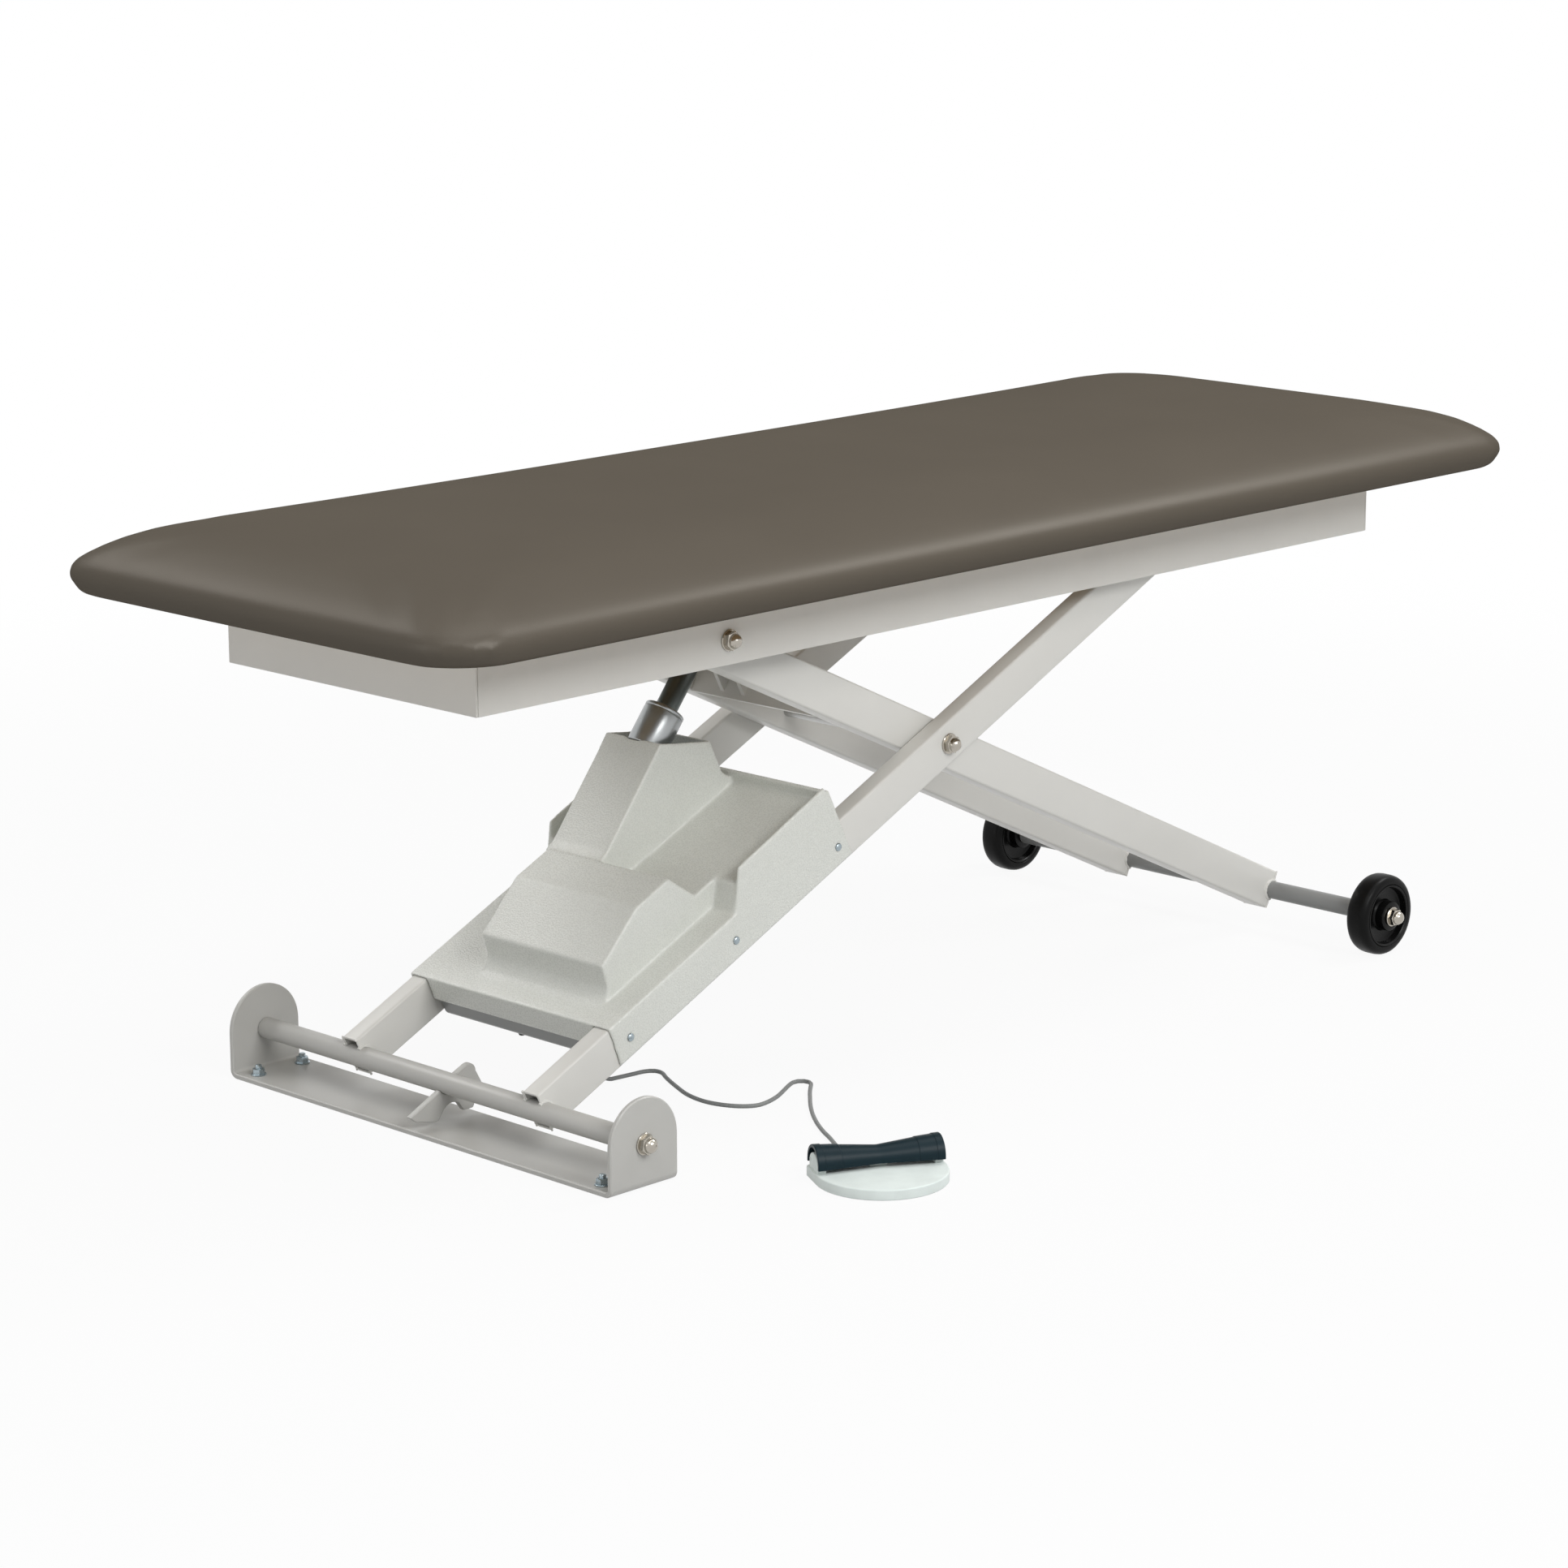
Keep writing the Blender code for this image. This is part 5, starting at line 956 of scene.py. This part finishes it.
def stuffed_pad():
    """The cushion remeshed and blown up as cloth over its filling, held where it is stapled underneath."""
    shell = linked("pad_shell", new_mesh("pad", pad_loft(PAD_SWELL)))
    modify(shell, "REMESH", mode="VOXEL", voxel_size=PAD_VOXEL)
    modify(shell, "SMOOTH", iterations=PAD_SMOOTHING)
    shell = linked("pad_shell", applied_mesh(shell))
    start = [vertex.co.copy() for vertex in shell.data.vertices]
    stapled = [index for index, spot in enumerate(start) if spot.z < PAD_LOW.z + PAD_VOXEL / 2]
    shell.vertex_groups.new(name="stapled").add(stapled, 1.0, "REPLACE")
    cloth = modify(shell, "CLOTH")
    cloth.settings.vertex_group_mass = "stapled"
    cloth.settings.use_pressure = True
    cloth.settings.uniform_pressure_force = PAD_PRESSURE
    cloth.settings.effector_weights.gravity = 0.0
    cloth.collision_settings.use_collision = False
    for step in range(1, PAD_FRAMES + 1):
        bpy.context.scene.frame_set(step)
    blown = applied_mesh(shell)
    bpy.context.scene.frame_set(1)
    for vertex, origin in zip(blown.vertices, start):
        move = vertex.co - origin
        vertex.co = origin + move * min(1.0, PAD_SWELL / max(move.length, PAD_SWELL))
    shell = linked("pad_shell", blown)
    modify(shell, "SMOOTH", iterations=PAD_SMOOTHING)
    modify(shell, "SUBSURF", levels=1)
    mesh = applied_mesh(shell)
    fill_box(mesh, PAD_LOW, PAD_HIGH)
    mesh.shade_smooth()
    return mesh


def fill_box(mesh, low, high):
    """Stretches a mesh to fill a box."""
    for axis in range(3):
        places = [vertex.co[axis] for vertex in mesh.vertices]
        first = min(places)
        scale = (high[axis] - low[axis]) / (max(places) - first)
        for vertex in mesh.vertices:
            vertex.co[axis] = low[axis] + (vertex.co[axis] - first) * scale


def make_pad():
    mesh = stuffed_pad()
    add_piece("pad_cushion", mesh, "pad")


# Foot switch: a half-round base with two cheeks, and a hood that narrows to its waist
def switch_outline(inset):
    radius = SWITCH_RADIUS - inset
    points = [(-x, -y) for x, y in half_circle(radius, radius, SWITCH_STEPS)]
    back = SWITCH_BACK - inset - SWITCH_CORNER
    side = radius - SWITCH_CORNER
    for sign, first in ((1, 0.0), (-1, math.pi / 2)):
        for step in range(SWITCH_CORNER_STEPS + 1):
            angle = first + math.pi / 2 * step / SWITCH_CORNER_STEPS
            x = sign * side + SWITCH_CORNER * math.cos(angle)
            y = back + SWITCH_CORNER * math.sin(angle)
            points.append((x, y))
    return points


def make_switch_base():
    low = local_box("foot_switch_base", PEDAL)[0]
    front = low.y + SWITCH_RADIUS
    root = low.z + SWITCH_PLATE / 2
    outlines = []
    for inset, height in SWITCH_EDGE:
        outlines.append([(x, front + y, low.z + height) for x, y in switch_outline(inset)])
    parts = [stacked(outlines), switch_cheek(-1, root), switch_cheek(1, root), switch_post(root)]
    mesh = new_mesh("foot_switch_base", merged(parts))
    add_piece("foot_switch_base_moulding", mesh, "foot_switch_base", PEDAL)


def arched(half_width, rise, root, steps):
    """An arch on legs that go down to root."""
    return [(half_width, root), *half_circle(half_width, rise, steps), (-half_width, root)]


def switch_cheek(side, root):
    end = HOOD_HALF_LENGTH - CHEEK_GAP
    outlines = []
    for inset, depth in CHEEK_EDGE:
        arch = arched(CHEEK_HALF_WIDTH - inset, CHEEK_RISE - inset, root, CHEEK_STEPS)
        outlines.append([(side * (end - depth), y, z) for y, z in arch])
    return stacked(outlines)


def switch_post(root):
    arch = arched(POST_RADIUS, POST_RADIUS, root, POST_STEPS)
    return stacked([[(x, y, z) for y, z in arch] for x in (-POST_HALF_LENGTH, POST_HALF_LENGTH)])


def make_hood():
    foot = local_box("foot_pedal", PEDAL)[0].z
    stations = [(-x, radius) for x, radius in reversed(HOOD_STATIONS)] + list(HOOD_STATIONS[1:])
    outlines = []
    for x, radius in stations:
        inside = radius - HOOD_WALL
        outer = arched(radius, radius, foot, HOOD_STEPS)
        inner = arched(inside, inside, foot, HOOD_STEPS)
        outlines.append([(x, y, z) for y, z in outer + inner[::-1]])
    shell = stacked(outlines, capped=False)
    shell.verts.ensure_lookup_table()
    count = len(outlines[0])
    for first in (0, count * (len(outlines) - 1)):
        for index in range(count // 2 - 1):
            far = count - 1 - index
            shell.faces.new([shell.verts[first + spot] for spot in (index, index + 1, far - 1, far)])
    mesh = new_mesh("foot_pedal", shell, HOOD_SMOOTH_ANGLE)
    add_piece("foot_pedal_hood", mesh, "foot_pedal", PEDAL)


# Cord from the control box to the foot switch, with a ribbed grip at each end
def make_grip(node, place, spot, turn):
    low, high = local_box(node, place)
    length = max(high.z - low.z, high.y - low.y)
    root = min(high.x - low.x, high.y - low.y, high.z - low.z) / 2
    profile = [(0, 0), (root, 0), (root, -GRIP_COLLAR)]
    pitch = (length - GRIP_COLLAR) / (2 * GRIP_RIBS)
    for step in range(1, 2 * GRIP_RIBS + 1):
        depth = GRIP_COLLAR + pitch * step
        taper = root + (GRIP_TIP_RADIUS - root) * (depth - GRIP_COLLAR) / (length - GRIP_COLLAR)
        radius = taper - GRIP_RIB_DEPTH * (step % 2)
        profile += [(radius, -depth + pitch * GRIP_RIB_SHARE), (radius, -depth)]
    mesh = new_mesh(node, turned([*profile, (0, -length)]))
    return add_piece(node + "_ribbed", mesh, node, place @ Matrix.Translation(spot) @ turn)


def cord_points(starts, ends):
    lying = CORD_DIAMETER / 2 + CORD_FLOOR_GAP
    hanging = [Vector(point) for point in CORD_DROP]
    on_floor = [Vector((*point, lying)) for point in CORD_ON_FLOOR]
    route = [*starts, *hanging, *on_floor, Vector(CORD_RISE), *ends]
    padded = [2 * route[0] - route[1], *route, 2 * route[-1] - route[-2]]
    points = [route[0]]
    for before, start, end, after in zip(padded, padded[1:], padded[2:], padded[3:]):
        count = max(1, round((end - start).length / CORD_STEP))
        points += [catmull_rom(before, start, end, after, index / count) for index in range(1, count + 1)]
    for point in points:
        point.z = max(point.z, lying)
    return points


def catmull_rom(before, start, end, after, share):
    slope_in = (end - before) / 2
    slope_out = (after - start) / 2
    square = share * share
    cube = square * share
    return ((2 * cube - 3 * square + 1) * start + (cube - 2 * square + share) * slope_in
            + (3 * square - 2 * cube) * end + (cube - square) * slope_out)


def make_cord():
    low, high = local_box("box_cord_grip", OUTER)
    seat = Vector(((low.x + high.x) / 2, (low.y + high.y) / 2, high.z))
    box_grip = make_grip("box_cord_grip", OUTER, seat, LEVEL)
    tip = seat + Vector((0, 0, low.z - high.z - CORD_SEAT))
    starts = [OUTER @ tip, OUTER @ (tip - Vector((0, 0, CORD_LEAD)))]
    low, high = local_box("switch_cord_grip", PEDAL)
    seat = Vector(((low.x + high.x) / 2, low.y, (low.z + high.z) / 2))
    switch_grip = make_grip("switch_cord_grip", PEDAL, seat, facing(-1))
    tip = seat + Vector((0, high.y - low.y + CORD_SEAT, 0))
    ends = [PEDAL @ (tip + Vector((0, CORD_LEAD, 0))), PEDAL @ tip]
    points = cord_points(starts, ends)
    sheath = swept_tube(points, CORD_DIAMETER / 2, CORD_SIDES)
    mesh = new_mesh("foot_switch_cord", sheath, CORD_SMOOTH_ANGLE)
    mesh.materials.append(FINISHES["cord_grey"])
    cord = linked("foot_switch_cord_sheath", mesh)
    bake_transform(cord)
    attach(cord, "base")
    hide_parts("foot_switch_cord")


# Camera, light and floor
def make_camera():
    data = bpy.data.cameras.new("camera")
    data.lens = CAMERA_LENS
    data.sensor_width = CAMERA_SENSOR
    camera = linked("camera", data)
    flat = math.cos(CAMERA_DIP)
    heading = (math.sin(CAMERA_HEADING) * flat, math.cos(CAMERA_HEADING) * flat)
    forward = Vector((*heading, -math.sin(CAMERA_DIP)))
    right = forward.cross(Vector((0, 0, 1))).normalized()
    up = right.cross(forward)
    turned_right = right * math.cos(CAMERA_ROLL) + up * math.sin(CAMERA_ROLL)
    turned_up = up * math.cos(CAMERA_ROLL) - right * math.sin(CAMERA_ROLL)
    axes = Matrix((turned_right, turned_up, -forward)).transposed().to_4x4()
    camera.matrix_world = Matrix.Translation(CAMERA_PLACE) @ axes
    bpy.context.scene.camera = camera


def add_softbox(name, place, target, size, watts):
    data = bpy.data.lights.new(name, "AREA")
    data.shape = "RECTANGLE"
    data.size, data.size_y = size
    data.energy = watts
    lamp = linked(name, data)
    lamp.location = place
    lamp.rotation_euler = (Vector(target) - Vector(place)).to_track_quat("-Z", "Y").to_euler()


def make_floor():
    bm = bmesh.new()
    bmesh.ops.create_grid(bm, x_segments=1, y_segments=1, size=FLOOR_HALF)
    floor = linked("floor", new_mesh("floor", bm))
    finish = Finish("floor_white", Base_Color=FLOOR_COLOUR, Roughness=0.9, Specular_IOR_Level=0.1)
    away = finish.node("ShaderNodeVectorMath", {"operation": "DISTANCE"},
                       {0: finish.coords, 1: FLOOR_CENTRE}, "Value")
    near, far = FLOOR_FADE
    fade = {"Value": away, "From Min": near, "From Max": far, "To Min": FLOOR_GLOW, "To Max": 1.0}
    glow_share = finish.node("ShaderNodeMapRange", {"interpolation_type": "SMOOTHSTEP"}, fade)
    glow = finish.node("ShaderNodeEmission", None, {"Color": WHITE, "Strength": 1.0})
    layers = {0: finish.backdrop_share() * glow_share, 1: finish.body(), 2: glow}
    finish.surface(finish.node("ShaderNodeMixShader", None, layers))
    floor.data.materials.append(finish.material)


def make_light():
    world = bpy.data.worlds.new("studio")
    world.use_nodes = True
    bpy.context.scene.world = world
    shading = Shading(world.node_tree)
    sky = shading.node("ShaderNodeBackground", None, {"Color": WHITE, "Strength": WORLD_LIGHT})
    backdrop = shading.node("ShaderNodeBackground", None, {"Color": WHITE, "Strength": 1.0})
    layers = {0: shading.backdrop_share(), 1: sky, 2: backdrop}
    shading.surface(shading.node("ShaderNodeMixShader", None, layers))
    for lamp in SOFTBOXES:
        add_softbox(*lamp)
    bpy.context.scene.view_settings.view_transform = "Standard"


make_camera()
dress_cad_nodes()
make_cord()
make_base_bracket()
make_arms()
make_round_nodes()
make_weld_beads()
make_domed_nuts()
make_studs()
make_cover_screws()
make_wheels()
make_cover()
make_pad()
make_switch_base()
make_hood()
ease_edges()
make_floor()
make_light()
